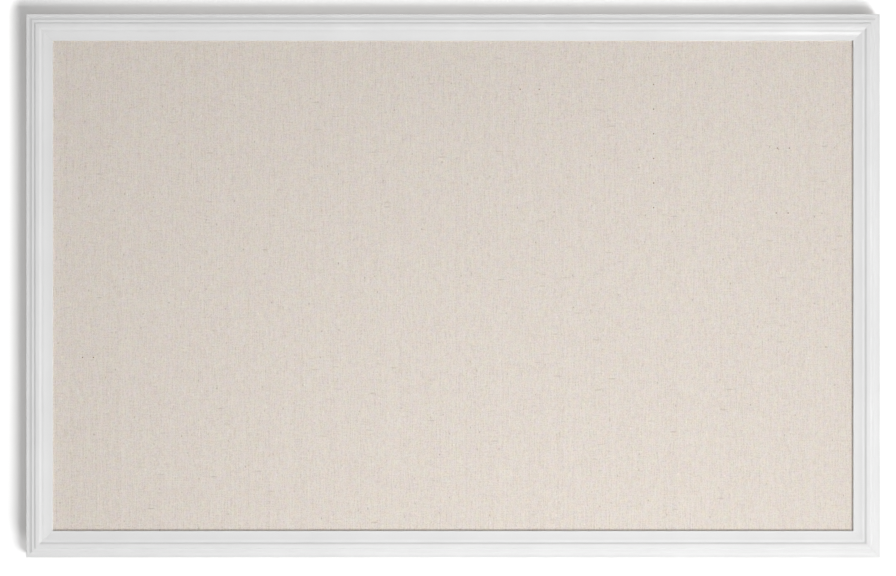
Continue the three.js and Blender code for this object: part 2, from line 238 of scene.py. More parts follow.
# Linen: threads, and the noises of their unevenness, with rates in changes for each thread or metre
WARP_PITCH = 0.64 * MM
WEFT_PITCH = 0.68 * MM
THREAD_SWAY = 0.8  # threads
SWAY_RATE = 45.0
STREAK = {"rates": (7.31, 1.6)}
UPRIGHT_LINES = {"rates": (900.0, 80.0), "seed": 13.0, "detail": 0.0}
LEVEL_LINES = {"rates": (130.0, 900.0), "seed": 17.0, "detail": 0.0}
LINE_SHIFT = 1.0 * MM
WARP_SLUB = {"rates": (3.17, 110.0), "seed": 4.0}
WEFT_SLUB = {"rates": (110.0, 5.17), "seed": 9.0}
FIBRE = {"rates": (2400.0, 1600.0), "seed": 2.0}
CLOUD_RATE = 60.0
DYE_RATE = 170.0

# Linen: how far each unevenness lightens or darkens the cloth
STREAK_TONE = 0.135
UPRIGHT_TONE = 0.09
LEVEL_TONE = 0.06
WARP_SLUB_OVER = 0.06
WARP_SLUB_UNDER = 0.02
WEFT_SLUB_OVER = 0.11
WEFT_SLUB_UNDER = 0.05
FIBRE_TONE = 0.12
CROSSING_TONE = 0.18
CLOUD_TONE = 0.03
TONE_CAP = 3.0  # holds back bright threads and deepens dark ones, by the square of their tone
WARMTH_SPAN = (-0.25, 0.25)  # of slub and fibre about 0, from dark linen to light
GAP_SHADE = 0.22
SHADE_DEPTH = (0.88, 1.015, 1.10)  # of red, green and blue, so that dark threads are warm
SHADE_REST = tuple(1 - depth for depth in SHADE_DEPTH)
DYE_SHARE = 0.081
DYE_DRIFT = (0.86, 0.88, 1.40)  # how far the red, green and blue of the dye wander
DYE_MEAN = tuple(0.5 - 0.5 * drift for drift in DYE_DRIFT)

# Linen: husk, in cells for each metre across and up, and relief
UPRIGHT_HUSK = (120.0, 70.0)
LEVEL_HUSK = (20.0, 110.0)
LEVEL_HUSK_SHARE = 0.6
HUSK_EDGE = (0.088, 0.032)  # of a cell, from a dash's middle to where it ends and where it is full
HUSK_CHANCE = 0.5
HUSK_FAINTEST = 0.06
HUSK_SHADE = 0.34
PALE_CHANCE = 0.16
PALE_HUSK = 0.14
WEAVE_RELIEF = 0.10 * MM
UNDER_SHARE = 0.55  # of a thread's height that sinks where the one below it does
FIBRE_RELIEF = 0.5
PIN_RELIEF = 2.0

# Marks of earlier pins in the linen, as places on the open linen from the board's centre
PIN_RADIUS = 0.75 * MM
PIN_CORE_SHARE = 0.35  # of the radius, where the hole is darkest
PIN_SHADE = 0.9
PIN_COLUMN = {"x": 179.2 * MM, "top": 179.8 * MM, "pitch": 22.0 * MM, "count": 6}
PIN_PAIRS = [
    {"x": 294.0 * MM, "z": 65.0 * MM, "apart": 10.7 * MM},
    {"x": 295.0 * MM, "z": 123.0 * MM, "apart": 10.7 * MM},
    {"x": 68.5 * MM, "z": 175.5 * MM, "apart": 17.0 * MM},
    {"x": -326.0 * MM, "z": -64.0 * MM, "apart": 9.8 * MM},
]

# Core: its noises' rates, in changes for each metre, the spans over which they set in, and what they do
SOFT_FIBRE_RATE = 800.0
SOFT_FIBRE_SPAN = (0.35, 0.65)
SOFT_PORE_RATE = 380.0
SOFT_PORE_SPAN = (0.58, 0.7)
SOFT_PORE_SHADE = 0.4
SOFT_PORE_GLOSS = 0.05
SOFT_ROUGHNESS = 0.95
SOFT_RELIEF = 0.3 * MM

# Hard backing, in the same way
SPECK_RATE = 700.0
SPECK_SPAN = (0.66, 0.74)
SPECK_SHADE = 0.45
SPECK_SINK = 0.5  # of the strands' relief
HARDBOARD_CLOUD_RATE = 9.0
HARDBOARD_CLOUD_SPAN = (0.35, 0.65)
HARDBOARD_CLOUD_SHARE = 0.3
HARDBOARD_ROUGHNESS = 0.58
HARDBOARD_RUBBING = 0.2  # how far clouds and strands make it duller or glossier
HARDBOARD_RELIEF = 0.06 * MM
LEVEL_STRANDS = {"rates": (260.0, 1500.0), "detail": 3.0, "roughness": 0.65}
UPRIGHT_STRANDS = {"rates": (1400.0, 300.0), "detail": 3.0, "roughness": 0.65}
STRAND_SPAN = (0.42, 0.78)
STRAND_LAYERS = 800.0  # through the board
STRAND_SEED = 5.0  # how far apart in the noise the two lie
STRAND_LIE = 20 * MM
STRAND_LIE_RATE = 30.0

# Zinc, in the same way
ZINC_CLOUD_RATE = 260.0
ZINC_CLOUD_SPAN = (0.3, 0.7)
SPANGLE_RATE = 900.0
SPANGLE_DARKEST = 0.94
SPANGLE_RISE = 0.10  # from the darkest grain to the lightest
SCUFF_RATE = 1500.0
SCUFF_SPAN = (0.52, 0.70)
SCUFF_HEIGHT = 0.4  # of the clouds' relief
ZINC_ROUGHNESS = 0.30
ZINC_DULLING = 0.14  # by clouds and by scuffs
ZINC_RELIEF = 0.02 * MM

# Rubber, in the same way
RUBBER_GRAIN_RATE = 2600.0
RUBBER_DUST_RATE = 420.0
RUBBER_DUST_SPAN = (0.45, 0.75)
RUBBER_DUST_SHARE = 0.6
RUBBER_DUST_DULLING = 0.2
RUBBER_ROUGHNESS = 0.62
RUBBER_RELIEF = 0.03 * MM

# Stamped steel: buttons and straps
BUTTON_EYE = 5.5 * MM
BUTTON_TIP = 3.8 * MM
BUTTON_RAYS = 96
BUTTON_RINGS = 5
STRAP_LAYER = 0.8 * MM
STRAP_LAYER_GAP = 0.02 * MM
STRAP_FOLD = 5.0 * MM  # below the ring's bar, where the strip lies flat again
STRAP_COLUMNS = 13
STRAP_RAYS = 120
STRAP_RINGS = 4
STEEL_EDGE = 0.18 * MM  # rounding of stamped edges
STEEL_CORNER_DEGREES = 50  # what turns more than this is such an edge
HOLE_CLEARANCE = 0.3 * MM

# Screws
SCREW_HEAD = 3.3 * MM
SCREW_HEAD_HEIGHT = 1.9 * MM
SCREW_RIM = 0.7 * MM
SCREW_RIM_ROUND = 0.15 * MM
SCREW_NECK = 0.2 * MM
SCREW_CORE = 1.3 * MM
SCREW_SHANK = 1.75 * MM
SCREW_TIP = 3.0 * MM
SCREW_SIDES = 72
SCREW_TURN = 2.4  # radians from one screw's recess to the next one's
THREAD_PITCH = 1.4 * MM
THREAD_START = 0.4 * MM
THREAD_FLANK = 0.25  # of the pitch, from the ridge's top to its foot
RECESS_LENGTH = 3.4 * MM
RECESS_WIDTH = 0.95 * MM
RECESS_DEPTH = 1.1 * MM
RECESS_END_SLOPE = 0.35 * MM
RECESS_SIDE_SLOPE = 0.18 * MM
RECESS_ZONE = 2.2 * MM  # radius of the dome that has points enough for the recess
DOME_STEP = 0.1 * MM  # from there to the dome's next point
DOME_END = 0.985  # share of the head's radius at which the dome gives way to the rim

# Rings
WIRE = 2.0 * MM
WIRE_SIDES = 24
WIRE_NOSE = 0.35 * MM  # rounding of the wire's ends
WIRE_NOSE_POINTS = (0.04, 0.15, 0.4, 0.7)  # shares of that rounding at which it has points
RING_CORNER = 2.0 * MM
RING_BUTT_GAP = 0.5 * MM

# Bumpers
BUMPER_FACE_SHARE = 0.77  # of the base's radius
BUMPER_DISH = 0.12 * MM
BUMPER_ROUND = 1.0 * MM
BUMPER_FLARE = 0.25 * MM
BUMPER_WAIST_IN = 0.1 * MM
BUMPER_WAIST = 1.4 * MM
BUMPER_FOOT = 0.5 * MM
BUMPER_FOOT_ROUND = 0.4 * MM
BUMPER_SIDES = 64


# Meshes

def grid_quads(rows, columns, close_columns=False):
    """Quads of a grid of points numbered row by row; the last column may join the first."""
    r = np.arange(rows - 1)[:, None]
    c = np.arange(columns if close_columns else columns - 1)[None, :]
    right = (c + 1) % columns
    corners = [r * columns + c, r * columns + right, (r + 1) * columns + right, (r + 1) * columns + c]
    return np.stack(np.broadcast_arrays(*corners), axis=-1).reshape(-1, 4)


def on_grid(x, y, z):
    """Points of a grid from their three coordinates, which may each be the same along a row or column."""
    return np.stack(np.broadcast_arrays(x, y, z), axis=-1)


def make_mesh(name, points, quads, polygons=(), weld=True):
    """A mesh of numbered points, quads and many-sided faces. Welding also turns its faces outwards."""
    loops = np.concatenate([quads.ravel(), *[np.asarray(p) for p in polygons]]).astype(np.int32)
    sizes = np.concatenate([np.full(len(quads), 4), [len(p) for p in polygons]]).astype(np.int32)
    mesh = bpy.data.meshes.new(name)
    mesh.vertices.add(len(points))
    mesh.vertices.foreach_set("co", np.asarray(points, np.float32).ravel())
    mesh.loops.add(len(loops))
    mesh.loops.foreach_set("vertex_index", loops)
    mesh.polygons.add(len(sizes))
    mesh.polygons.foreach_set("loop_start", np.concatenate([[0], np.cumsum(sizes)[:-1]]).astype(np.int32))
    mesh.update(calc_edges=True)
    if weld:
        shell = bmesh.new()
        shell.from_mesh(mesh)
        bmesh.ops.remove_doubles(shell, verts=shell.verts, dist=WELD_DISTANCE)
        bmesh.ops.dissolve_degenerate(shell, edges=shell.edges, dist=SLIVER)
        bmesh.ops.recalc_face_normals(shell, faces=shell.faces)
        shell.to_mesh(mesh)
        shell.free()
    return mesh


def add_piece(name, mesh, finish, body, slot, *nodes, sharp_degrees=40):
    """Puts a mesh into the scene as a piece that rides on a body and stands for CAD nodes."""
    mesh.polygons.foreach_set("use_smooth", np.ones(len(mesh.polygons), bool))
    mesh.set_sharp_from_angle(angle=math.radians(sharp_degrees))
    mesh.materials.append(finish)
    piece = bpy.data.objects.new(name, mesh)
    bpy.context.scene.collection.objects.link(piece)
    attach(piece, body)
    if nodes:
        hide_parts(*nodes)
    return piece


def keep_values(mesh, name, values):
    """Stores one number or one vector for each point of a mesh, for its finish to read."""
    values = np.asarray(values, np.float32)
    kind, field = ("FLOAT", "value") if values.ndim == 1 else ("FLOAT_VECTOR", "vector")
    layer = mesh.attributes.new(name, kind, "POINT")
    layer.data.foreach_set(field, values.ravel())


def straight(start, end, count=12):
    """Points on a line."""
    t = np.linspace(0, 1, count)[:, None]
    return (1 - t) * np.array(start) + t * np.array(end)


def bend(start, pull, end, count=24):
    """Points on a quadratic curve from start to end, pulled towards a corner."""
    t = np.linspace(0, 1, count)[:, None]
    return (1 - t) ** 2 * np.array(start) + 2 * t * (1 - t) * np.array(pull) + t**2 * np.array(end)


def ogee(start, end, count=30):
    """Points on an S: level at both ends, with its steep part midway."""
    t = np.linspace(0, 1, count)
    across = start[0] + (end[0] - start[0]) * t
    down = start[1] + (end[1] - start[1]) * (3 * t**2 - 2 * t**3)
    return np.stack([across, down], axis=1)


def arc(centre, radius, start, end, count=24):
    """Points on part of a circle, angles in quarter turns."""
    angle = np.linspace(start, end, count) * math.pi / 2
    return np.array(centre) + radius * np.stack([np.cos(angle), np.sin(angle)], axis=1)


def run_length(line):
    """Distance along a line of points, from its first one."""
    return np.concatenate([[0], np.cumsum(np.linalg.norm(np.diff(line, axis=0), axis=1))])


def soften(line, sigma, step):
    """A line resampled evenly and averaged along it with a bell curve out to 4 sigma, its ends kept."""
    run = run_length(line)
    even = np.linspace(0, run[-1], int(run[-1] / step))
    fine = np.stack([np.interp(even, run, line[:, k]) for k in range(line.shape[1])], axis=1)
    reach = int(4 * sigma / step)
    bell = np.exp(-0.5 * (np.arange(-reach, reach + 1) * step / sigma) ** 2)
    bell /= bell.sum()
    padded = np.concatenate(
        [2 * fine[0] - fine[reach:0:-1], fine, 2 * fine[-1] - fine[-2 : -reach - 2 : -1]]
    )
    return np.stack([np.convolve(padded[:, k], bell, "valid") for k in range(line.shape[1])], axis=1)


def thin_out(line, count, turn_weight):
    """A dense line cut down to a few points, spaced by length plus a share for how much the line turns."""
    run = run_length(line)
    heading = np.unwrap(np.arctan2(*np.diff(line, axis=0).T[::-1]))
    turn = np.concatenate([[0], np.cumsum(np.abs(np.diff(heading))), [np.abs(np.diff(heading)).sum()]])
    measure = run / run[-1] + turn_weight * turn / turn[-1]
    pick = np.linspace(0, measure[-1], count)
    return np.stack([np.interp(pick, measure, line[:, k]) for k in range(line.shape[1])], axis=1)


def joint_of(body):
    """The joint that moves a body."""
    return next(j for j in frame["joints"] if j["child"] == body)


# Finishes

class Tone:
    """A shader socket that arithmetic works on: each operator adds one Math node to its finish."""

    def __init__(self, finish, socket):
        self.finish = finish
        self.socket = socket

    def __add__(self, other):
        return self.finish.maths("ADD", self, other)

    def __sub__(self, other):
        return self.finish.maths("SUBTRACT", self, other)

    def __neg__(self):
        return self.finish.maths("MULTIPLY", self, -1.0)

    def __rsub__(self, other):
        return self.finish.maths("SUBTRACT", other, self)

    def __mul__(self, other):
        return self.finish.maths("MULTIPLY", self, other)

    def __truediv__(self, other):
        return self.finish.maths("DIVIDE", self, other)

    def __gt__(self, other):
        return self.finish.maths("GREATER_THAN", self, other)

    def __pow__(self, other):
        return self.finish.maths("POWER", self, other)

    def __abs__(self):
        return self.finish.maths("ABSOLUTE", self)

    __radd__ = __add__
    __rmul__ = __mul__


class Finish:
    """The nodes of a material or of the world, while they are being laid out."""

    def __init__(self, owner):
        owner.use_nodes = True
        self.owner = owner
        self.tree = owner.node_tree
        self.tree.nodes.clear()

    def add(self, kind, settings=None, sockets=None):
        """Adds a node: its settings first, then its sockets' values or links."""
        made = self.tree.nodes.new("ShaderNode" + kind)
        for key, value in (settings or {}).items():
            setattr(made, key, value)
        for key, value in (sockets or {}).items():
            if isinstance(value, Tone):
                self.tree.links.new(value.socket, made.inputs[key])
            else:
                made.inputs[key].default_value = value
        return made

    def node(self, kind, out=0, settings=None, sockets=None):
        """Adds a node and gives one of its outputs."""
        return Tone(self, self.add(kind, settings, sockets).outputs[out])

    def maths(self, operation, *values):
        """One sum on numbers."""
        return self.node("Math", settings={"operation": operation}, sockets=dict(enumerate(values)))

    def vectors(self, operation, *values):
        """One sum on colours or vectors."""
        return self.node("VectorMath", settings={"operation": operation}, sockets=dict(enumerate(values)))

    def floor(self, value):
        """The whole number below."""
        return self.maths("FLOOR", value)

    def lower(self, a, b):
        """The lower of two numbers."""
        return self.maths("MINIMUM", a, b)

    def higher(self, a, b):
        """The higher of two numbers."""
        return self.maths("MAXIMUM", a, b)

    def ease(self, value, low, high, start=0.0, end=1.0):
        """start below low, end above high, and a smooth step between; low may be the greater of the two."""
        return self.node(
            "MapRange",
            settings={"interpolation_type": "SMOOTHSTEP"},
            sockets={"Value": value, 1: low, 2: high, 3: start, 4: end},
        )

    def mix(self, share, a, b):
        """Colour a where share is 0, and b where it is 1."""
        return self.node(
            "Mix", 2, {"data_type": "RGBA"}, {0: share, 6: self.colour(a), 7: self.colour(b)}
        )

    @staticmethod
    def colour(value):
        """A colour as a socket takes it."""
        return value if isinstance(value, Tone) else (*value, 1.0)

    def shade(self, colour, factor):
        """A colour times a number that changes over the surface."""
        return self.node("VectorMath", 0, {"operation": "SCALE"}, {0: colour, "Scale": factor})

    def place(self):
        """Object coordinates."""
        return self.node("TexCoord", "Object")

    def kept(self, name, out="Vector"):
        """A value that the mesh keeps for each point."""
        return self.node("Attribute", out, {"attribute_name": name})

    def parts(self, vector):
        """The three numbers of a vector."""
        split = self.add("SeparateXYZ", sockets={0: vector})
        return [Tone(self, s) for s in split.outputs]

    def vector(self, x, y, z=0.0):
        """A vector of three numbers."""
        return self.node("CombineXYZ", sockets={0: x, 1: y, 2: z})

    def noise(self, where, scale, detail=2.0, roughness=0.5, out=0):
        """Smooth noise about 0.5, with features of about 1 / scale."""
        sockets = {"Vector": where, "Scale": scale, "Detail": detail, "Roughness": roughness}
        return self.node("TexNoise", out, sockets=sockets)

    def drawn_noise(self, x, y, rates, seed=0.0, detail=1.0, roughness=0.5):
        """Smooth noise about 0.5 that changes at one rate along x and at another along y."""
        where = self.vector(x * rates[0], y * rates[1], seed)
        return self.noise(where, 1.0, detail, roughness)

    def bump(self, height, distance, strength=1.0, below=None):
        """The normal over a relief of height times distance, on top of the bump below it."""
        sockets = {"Height": height, "Distance": distance, "Strength": strength}
        if below is not None:
            sockets["Normal"] = below
        return self.node("Bump", sockets=sockets)

    def surface(self, **sockets):
        """Ends the finish in one Principled shader. Socket names are written with _ for spaces."""
        named = {key.replace("_", " "): value for key, value in sockets.items()}
        return self.end(self.node("BsdfPrincipled", sockets=named))

    def end(self, shader, kind="Material"):
        """Links a shader to the output, and gives what the nodes belong to."""
        self.add("Output" + kind, sockets={"Surface": shader})
        return self.owner

    def seen(self):
        """1 on what the camera sees straight, in a reflection or through glass, 0 on what only lights."""
        reflected = self.higher(
            self.node("LightPath", "Is Glossy Ray"), self.node("LightPath", "Is Transmission Ray")
        )
        return self.higher(self.node("LightPath", "Is Camera Ray"), reflected)


def new_finish(name):
    """An empty procedural material."""
    return Finish(bpy.data.materials.new(name))


def pin_marks(f, x, z):
    """Distance to the nearest pin mark: a column at even spacing, and pairs mirrored about their middles."""
    step = f.floor((PIN_COLUMN["top"] - z) / PIN_COLUMN["pitch"] + 0.5)
    step = f.lower(f.higher(step, 0.0), PIN_COLUMN["count"] - 1.0)
    dz = PIN_COLUMN["top"] - step * PIN_COLUMN["pitch"] - z
    nearest = (x - PIN_COLUMN["x"]) ** 2 + dz**2
    for pair in PIN_PAIRS:
        dx = abs(x - pair["x"]) - pair["apart"] / 2
        nearest = f.lower(nearest, dx**2 + (z - pair["z"]) ** 2)
    return nearest**0.5


def husk_dashes(f, p, q, cells):
    """Dashes in the cells of a scattered point pattern, one in each. Gives the dark ones, in half of the
    cells and most of them faint, and the pale ones, in a few of the others."""
    where = {"Vector": f.vector(p * cells[0], q * cells[1]), "Scale": 1.0}
    far = f.node("TexVoronoi", "Distance", {"voronoi_dimensions": "2D"}, where)
    kind = f.node("TexVoronoi", "Color", {"voronoi_dimensions": "2D"}, where)
    chance, _, strength = f.parts(kind)
    dash = f.ease(far, *HUSK_EDGE)
    dark = dash * (chance > HUSK_CHANCE) * (strength**3 + HUSK_FAINTEST)
    pale = dash * (1 - (chance > PALE_CHANCE))
    return dark, pale


def thread(f, place, pitch, sway):
    """The number of the thread at a place across the cloth, and how high its round back stands there: 1 on
    its middle, falling with the square of the distance to 0 at its sides."""
    across = place / pitch + (sway - 0.5) * THREAD_SWAY
    number = f.floor(across)
    off_middle = (across - number) * 2 - 1
    return number, 1 - off_middle * off_middle


def thin_lines(f, p, q):
    """Thin lines up the cloth and across it, each the difference of one noise at two places close by."""
    upright = f.drawn_noise(p, q, **UPRIGHT_LINES) - f.drawn_noise(p + LINE_SHIFT, q, **UPRIGHT_LINES)
    level = f.drawn_noise(p, q, **LEVEL_LINES) - f.drawn_noise(p, q + LINE_SHIFT, **LEVEL_LINES)
    return upright, level


def linen_finish():
    """Plain weave: where the numbers of the two threads add up to an odd one the warp lies on top, elsewhere
    the weft. Each thread has a tone that drifts along it, and each crossing one of its own. Husk lies in
    dashes, short ones up the cloth and long ones across it, and the dye wanders in patches."""
    f = new_finish("oatmeal_linen")
    cloth = f.kept("cloth")
    p, q, _ = f.parts(cloth)
    sway_p, sway_q, _ = f.parts(f.noise(cloth, SWAY_RATE, detail=1.0, out="Color"))
    warp_number, warp_round = thread(f, p, WARP_PITCH, sway_p)
    weft_number, weft_round = thread(f, q, WEFT_PITCH, sway_q)
    warp_on_top = f.maths("PINGPONG", warp_number + weft_number, 1.0)

    streak = f.drawn_noise(warp_number, q, **STREAK) - 0.5
    upright, level = thin_lines(f, p, q)
    warp_slub = f.drawn_noise(warp_number, q, **WARP_SLUB) - 0.5
    weft_slub = f.drawn_noise(p, weft_number, **WEFT_SLUB) - 0.5
    fibre = f.drawn_noise(p, q, **FIBRE) - 0.5
    cloud = f.noise(cloth, CLOUD_RATE) - 0.5
    crossing_place = f.vector(warp_number, weft_number)
    crossing = f.node("TexWhiteNoise", 0, {"noise_dimensions": "2D"}, {"Vector": crossing_place}) - 0.5
    tone = (
        streak * STREAK_TONE
        + upright * UPRIGHT_TONE
        + level * LEVEL_TONE
        + warp_slub * (WARP_SLUB_UNDER + warp_on_top * (WARP_SLUB_OVER - WARP_SLUB_UNDER))
        + weft_slub * (WEFT_SLUB_OVER - warp_on_top * (WEFT_SLUB_OVER - WEFT_SLUB_UNDER))
        + fibre * FIBRE_TONE
        + crossing * CROSSING_TONE
        + cloud * CLOUD_TONE
    )

    husk, pale_husk = husk_dashes(f, p, q, UPRIGHT_HUSK)
    level_husk, _ = husk_dashes(f, p, q, LEVEL_HUSK)
    husk = f.higher(husk, level_husk * LEVEL_HUSK_SHARE)
    x, _, z = f.parts(f.place())
    pinhole = f.ease(pin_marks(f, x, z), PIN_RADIUS, PIN_RADIUS * PIN_CORE_SHARE)

    gap = (1 - warp_round) * (1 - weft_round)
    light = (1 + tone - TONE_CAP * tone * tone) * (1 - gap * GAP_SHADE)
    light = light * (1 - husk * HUSK_SHADE) * (1 - pinhole * PIN_SHADE) + pale_husk * PALE_HUSK
    light = f.vectors("MULTIPLY_ADD", light, SHADE_DEPTH, SHADE_REST)
    dye = f.vectors("MULTIPLY_ADD", f.noise(cloth, DYE_RATE, detail=1.0, out="Color"), DYE_DRIFT, DYE_MEAN)
    warm = f.mix(f.ease(warp_slub + fibre, *WARMTH_SPAN), LINEN_DARK, LINEN_LIGHT)
    warm = f.mix(DYE_SHARE, warm, dye)

    top_round = weft_round + (warp_round - weft_round) * warp_on_top
    under_round = warp_round + (weft_round - warp_round) * warp_on_top
    height = top_round * (1 - UNDER_SHARE + UNDER_SHARE * under_round)
    height = height + fibre * FIBRE_RELIEF - pinhole * PIN_RELIEF
    return f.surface(
        Base_Color=f.vectors("MULTIPLY", warm, light),
        Roughness=0.92,
        Specular_IOR_Level=0.25,
        Sheen_Weight=0.08,
        Sheen_Roughness=0.5,
        Normal=f.bump(height, WEAVE_RELIEF, strength=0.5),
    )


def painted_wood_finish():
    """Sprayed white satin paint over wood. The coat thins to nothing on the back, where the wood is bare
    with a ragged edge of overspray. Each rail has its own grain, which is noise drawn out along the rail,
    and its own painted light, which makes its paint lighter. Painted shade darkens the outer band and the
    faces that climb outwards, and glue has stained the bare wood at the mitres."""
    f = new_finish("white_satin_paint")
    along, across, rail = f.parts(f.kept("run"))
    place = f.place()
    x, _, z = f.parts(place)
    mist = f.noise(place, MIST_RATE) - 0.5
    drift = f.noise(place, DRIFT_RATE) - 0.5
    painted = f.ease(f.kept("coat", "Fac") + (mist + drift) * RAGGEDNESS, *PAINT_EDGE)

    mottle = f.noise(place, MOTTLE_RATE, detail=3.0) - 0.5
    paint = f.mix(f.ease(mottle, *MOTTLE_SPAN), PAINT_DARK, PAINT_LIGHT)
    # Painted light for each rail, and painted shade on the outer band and the faces that climb outwards
    paint = f.shade(paint, f.kept("spray", "Fac") * (1 - f.kept("dust", "Fac") * SLOPE_PAINTED_SHADE))

    grain = f.drawn_noise(along, across, seed=rail, **GRAIN)
    pore = f.ease(f.drawn_noise(along, across, seed=rail + PORE_SEED, **PORES), *PORE_SPAN)
    bare = f.mix(f.ease(grain, *GRAIN_SPAN), WOOD_DARK, WOOD_LIGHT)
    from_mitre = abs((BOARD_HALF_X - abs(x)) - (BOARD_HALF_Z - abs(z)))
    stain = f.ease(from_mitre, MITRE_STAIN, MITRE_STAIN / 3)
    bare = f.shade(bare, (1 - pore * PORE_SHADE) * (1 - stain * MITRE_SHADE))

    peel = f.noise(place, PEEL_RATE)
    wave = f.noise(place, WAVE_RATE, detail=1.0) * WAVE_SHARE
    paint_bump = f.bump(wave + peel, PEEL_RELIEF, strength=0.35)
    coat_roughness = WOOD_ROUGHNESS - painted * (WOOD_ROUGHNESS - PAINT_ROUGHNESS)
    return f.surface(
        Base_Color=f.mix(painted, bare, paint),
        Roughness=coat_roughness + (peel - 0.5) * PEEL_ROUGHNESS,
        Normal=f.bump(grain * (1 - painted), GRAIN_RELIEF, strength=0.6, below=paint_bump),
    )


def zinc_finish():
    """Zinc plating: a clouded pale metal with a fine spangle, rubbed duller in patches."""
    f = new_finish("zinc_plated_steel")
    place = f.place()
    cloud = f.noise(place, ZINC_CLOUD_RATE, detail=3.0)
    spangle = f.node("TexVoronoi", "Color", sockets={"Vector": place, "Scale": SPANGLE_RATE})
    grain, _, _ = f.parts(spangle)
    scuff = f.ease(f.noise(place, SCUFF_RATE, detail=3.0, roughness=0.7), *SCUFF_SPAN)
    colour = f.mix(f.ease(cloud, *ZINC_CLOUD_SPAN), ZINC_DARK, ZINC_LIGHT)
    return f.surface(
        Base_Color=f.shade(colour, SPANGLE_DARKEST + grain * SPANGLE_RISE),
        Metallic=1.0,
        Roughness=ZINC_ROUGHNESS + cloud * ZINC_DULLING + scuff * ZINC_DULLING,
        Normal=f.bump(cloud + scuff * SCUFF_HEIGHT, ZINC_RELIEF, strength=0.3),
    )


def hardboard_finish():
    """Smooth side of hardboard: pressed brown fibre with paler strands lying level and upright, dark specks
    and a faint rubbed sheen."""
    f = new_finish("brown_hardboard")
    place = f.place()
    x, y, z = f.parts(place)
    lie = (f.noise(place, STRAND_LIE_RATE) - 0.5) * STRAND_LIE
    layer = y * STRAND_LAYERS
    level = f.drawn_noise(x + lie, z, seed=layer, **LEVEL_STRANDS)
    upright = f.drawn_noise(x, z + lie, seed=layer + STRAND_SEED, **UPRIGHT_STRANDS)
    strands = f.higher(level, upright)
    speck = f.ease(f.noise(place, SPECK_RATE), *SPECK_SPAN)
    cloud = f.noise(place, HARDBOARD_CLOUD_RATE, detail=4.0, roughness=0.6)
    colour = f.mix(f.ease(strands, *STRAND_SPAN), HARDBOARD_DARK, HARDBOARD_STRAND)
    clouded = f.ease(cloud, *HARDBOARD_CLOUD_SPAN, end=HARDBOARD_CLOUD_SHARE)
    colour = f.mix(clouded, colour, HARDBOARD_CLOUD)
    return f.surface(
        Base_Color=f.shade(colour, 1 - speck * SPECK_SHADE),
        Roughness=(
            HARDBOARD_ROUGHNESS + (cloud - 0.5) * HARDBOARD_RUBBING + (strands - 0.5) * HARDBOARD_RUBBING
        ),
        Normal=f.bump(strands - speck * SPECK_SINK, HARDBOARD_RELIEF, strength=0.5),
    )


def softboard_finish():
    """Soft fibre board: loose tan fibre with open, darker pores."""
    f = new_finish("tan_fibre_board")
    place = f.place()
    fibre = f.noise(place, SOFT_FIBRE_RATE, detail=4.0, roughness=0.7)
    pore = f.ease(f.noise(place, SOFT_PORE_RATE), *SOFT_PORE_SPAN)
    colour = f.mix(f.ease(fibre, *SOFT_FIBRE_SPAN), SOFTBOARD_DARK, SOFTBOARD_LIGHT)
    return f.surface(
        Base_Color=f.shade(colour, 1 - pore * SOFT_PORE_SHADE),
        Roughness=SOFT_ROUGHNESS - pore * SOFT_PORE_GLOSS,
        Normal=f.bump(fibre - pore, SOFT_RELIEF, strength=0.8),
    )


def rubber_finish():
    """Grey moulded rubber with a fine matt grain, dusted paler in patches."""
    f = new_finish("grey_rubber")
    place = f.place()
    grain = f.noise(place, RUBBER_GRAIN_RATE)
    dust = f.ease(f.noise(place, RUBBER_DUST_RATE, detail=3.0), *RUBBER_DUST_SPAN)
    return f.surface(
        Base_Color=f.mix(dust * RUBBER_DUST_SHARE, RUBBER_DARK, RUBBER_DUST),
        Roughness=RUBBER_ROUGHNESS + dust * RUBBER_DUST_DULLING,
        Normal=f.bump(grain, RUBBER_RELIEF, strength=0.5),
    )


# Frame

def moulding_front(rebate_depth):
    """The front of the moulding's section as (inset, height) points. From the outer side in: flat band,
    cove, fillet, riser, crown, ogee drop, step, shallow scoop and rounded sight edge, softened as by
    paint."""
    sight_top = rebate_depth + LIP
    step_top = sight_top + SCOOP_FALL
    crown_top = step_top + DROP_HEIGHT
    shoulder = crown_top - SHOULDER
    fillet_top = shoulder - RISER_HEIGHT
    band_top = fillet_top - COVE_RISE
    cove_end = OUTER_BAND + COVE
    fillet_end = cove_end + FILLET
    crown_start = fillet_end + RISER
    crown_end = crown_start + CROWN
    drop_end = crown_end + DROP
    step_end = drop_end + STEP
    sight_start = step_end + SCOOP
    width = sight_start + SIGHT_RADIUS
    crown_mid = (crown_start + crown_end) / 2
    scoop_middle = (step_end + sight_start) / 2
    scoop_pull = step_top - SCOOP_ENTRY_SLOPE * SCOOP / 2
    sharp_front = np.concatenate(
        [
            straight((0, BACK_PLANING), (0, band_top - OUTER_RADIUS)),
            bend((0, band_top - OUTER_RADIUS), (0, band_top), (OUTER_RADIUS, band_top)),
            bend((OUTER_BAND, band_top), (OUTER_BAND + COVE_PULL * COVE, band_top), (cove_end, fillet_top)),
            straight((fillet_end, fillet_top), (crown_start, shoulder)),
            bend((crown_start, shoulder), (crown_start + SHOULDER, crown_top), (crown_mid, crown_top)),
            ogee((crown_end, crown_top), (drop_end, step_top)),
            bend((step_end, step_top), (scoop_middle, scoop_pull), (sight_start, sight_top)),
            bend((sight_start, sight_top), (width, sight_top), (width, sight_top - SIGHT_RADIUS)),
            straight((width, sight_top - SIGHT_RADIUS), (width, rebate_depth)),
        ]
    )
    softened = soften(sharp_front, PAINT_SOFTENING, OUTLINE_STEP)
    return thin_out(softened, OUTLINE_POINTS, OUTLINE_TURN_WEIGHT)


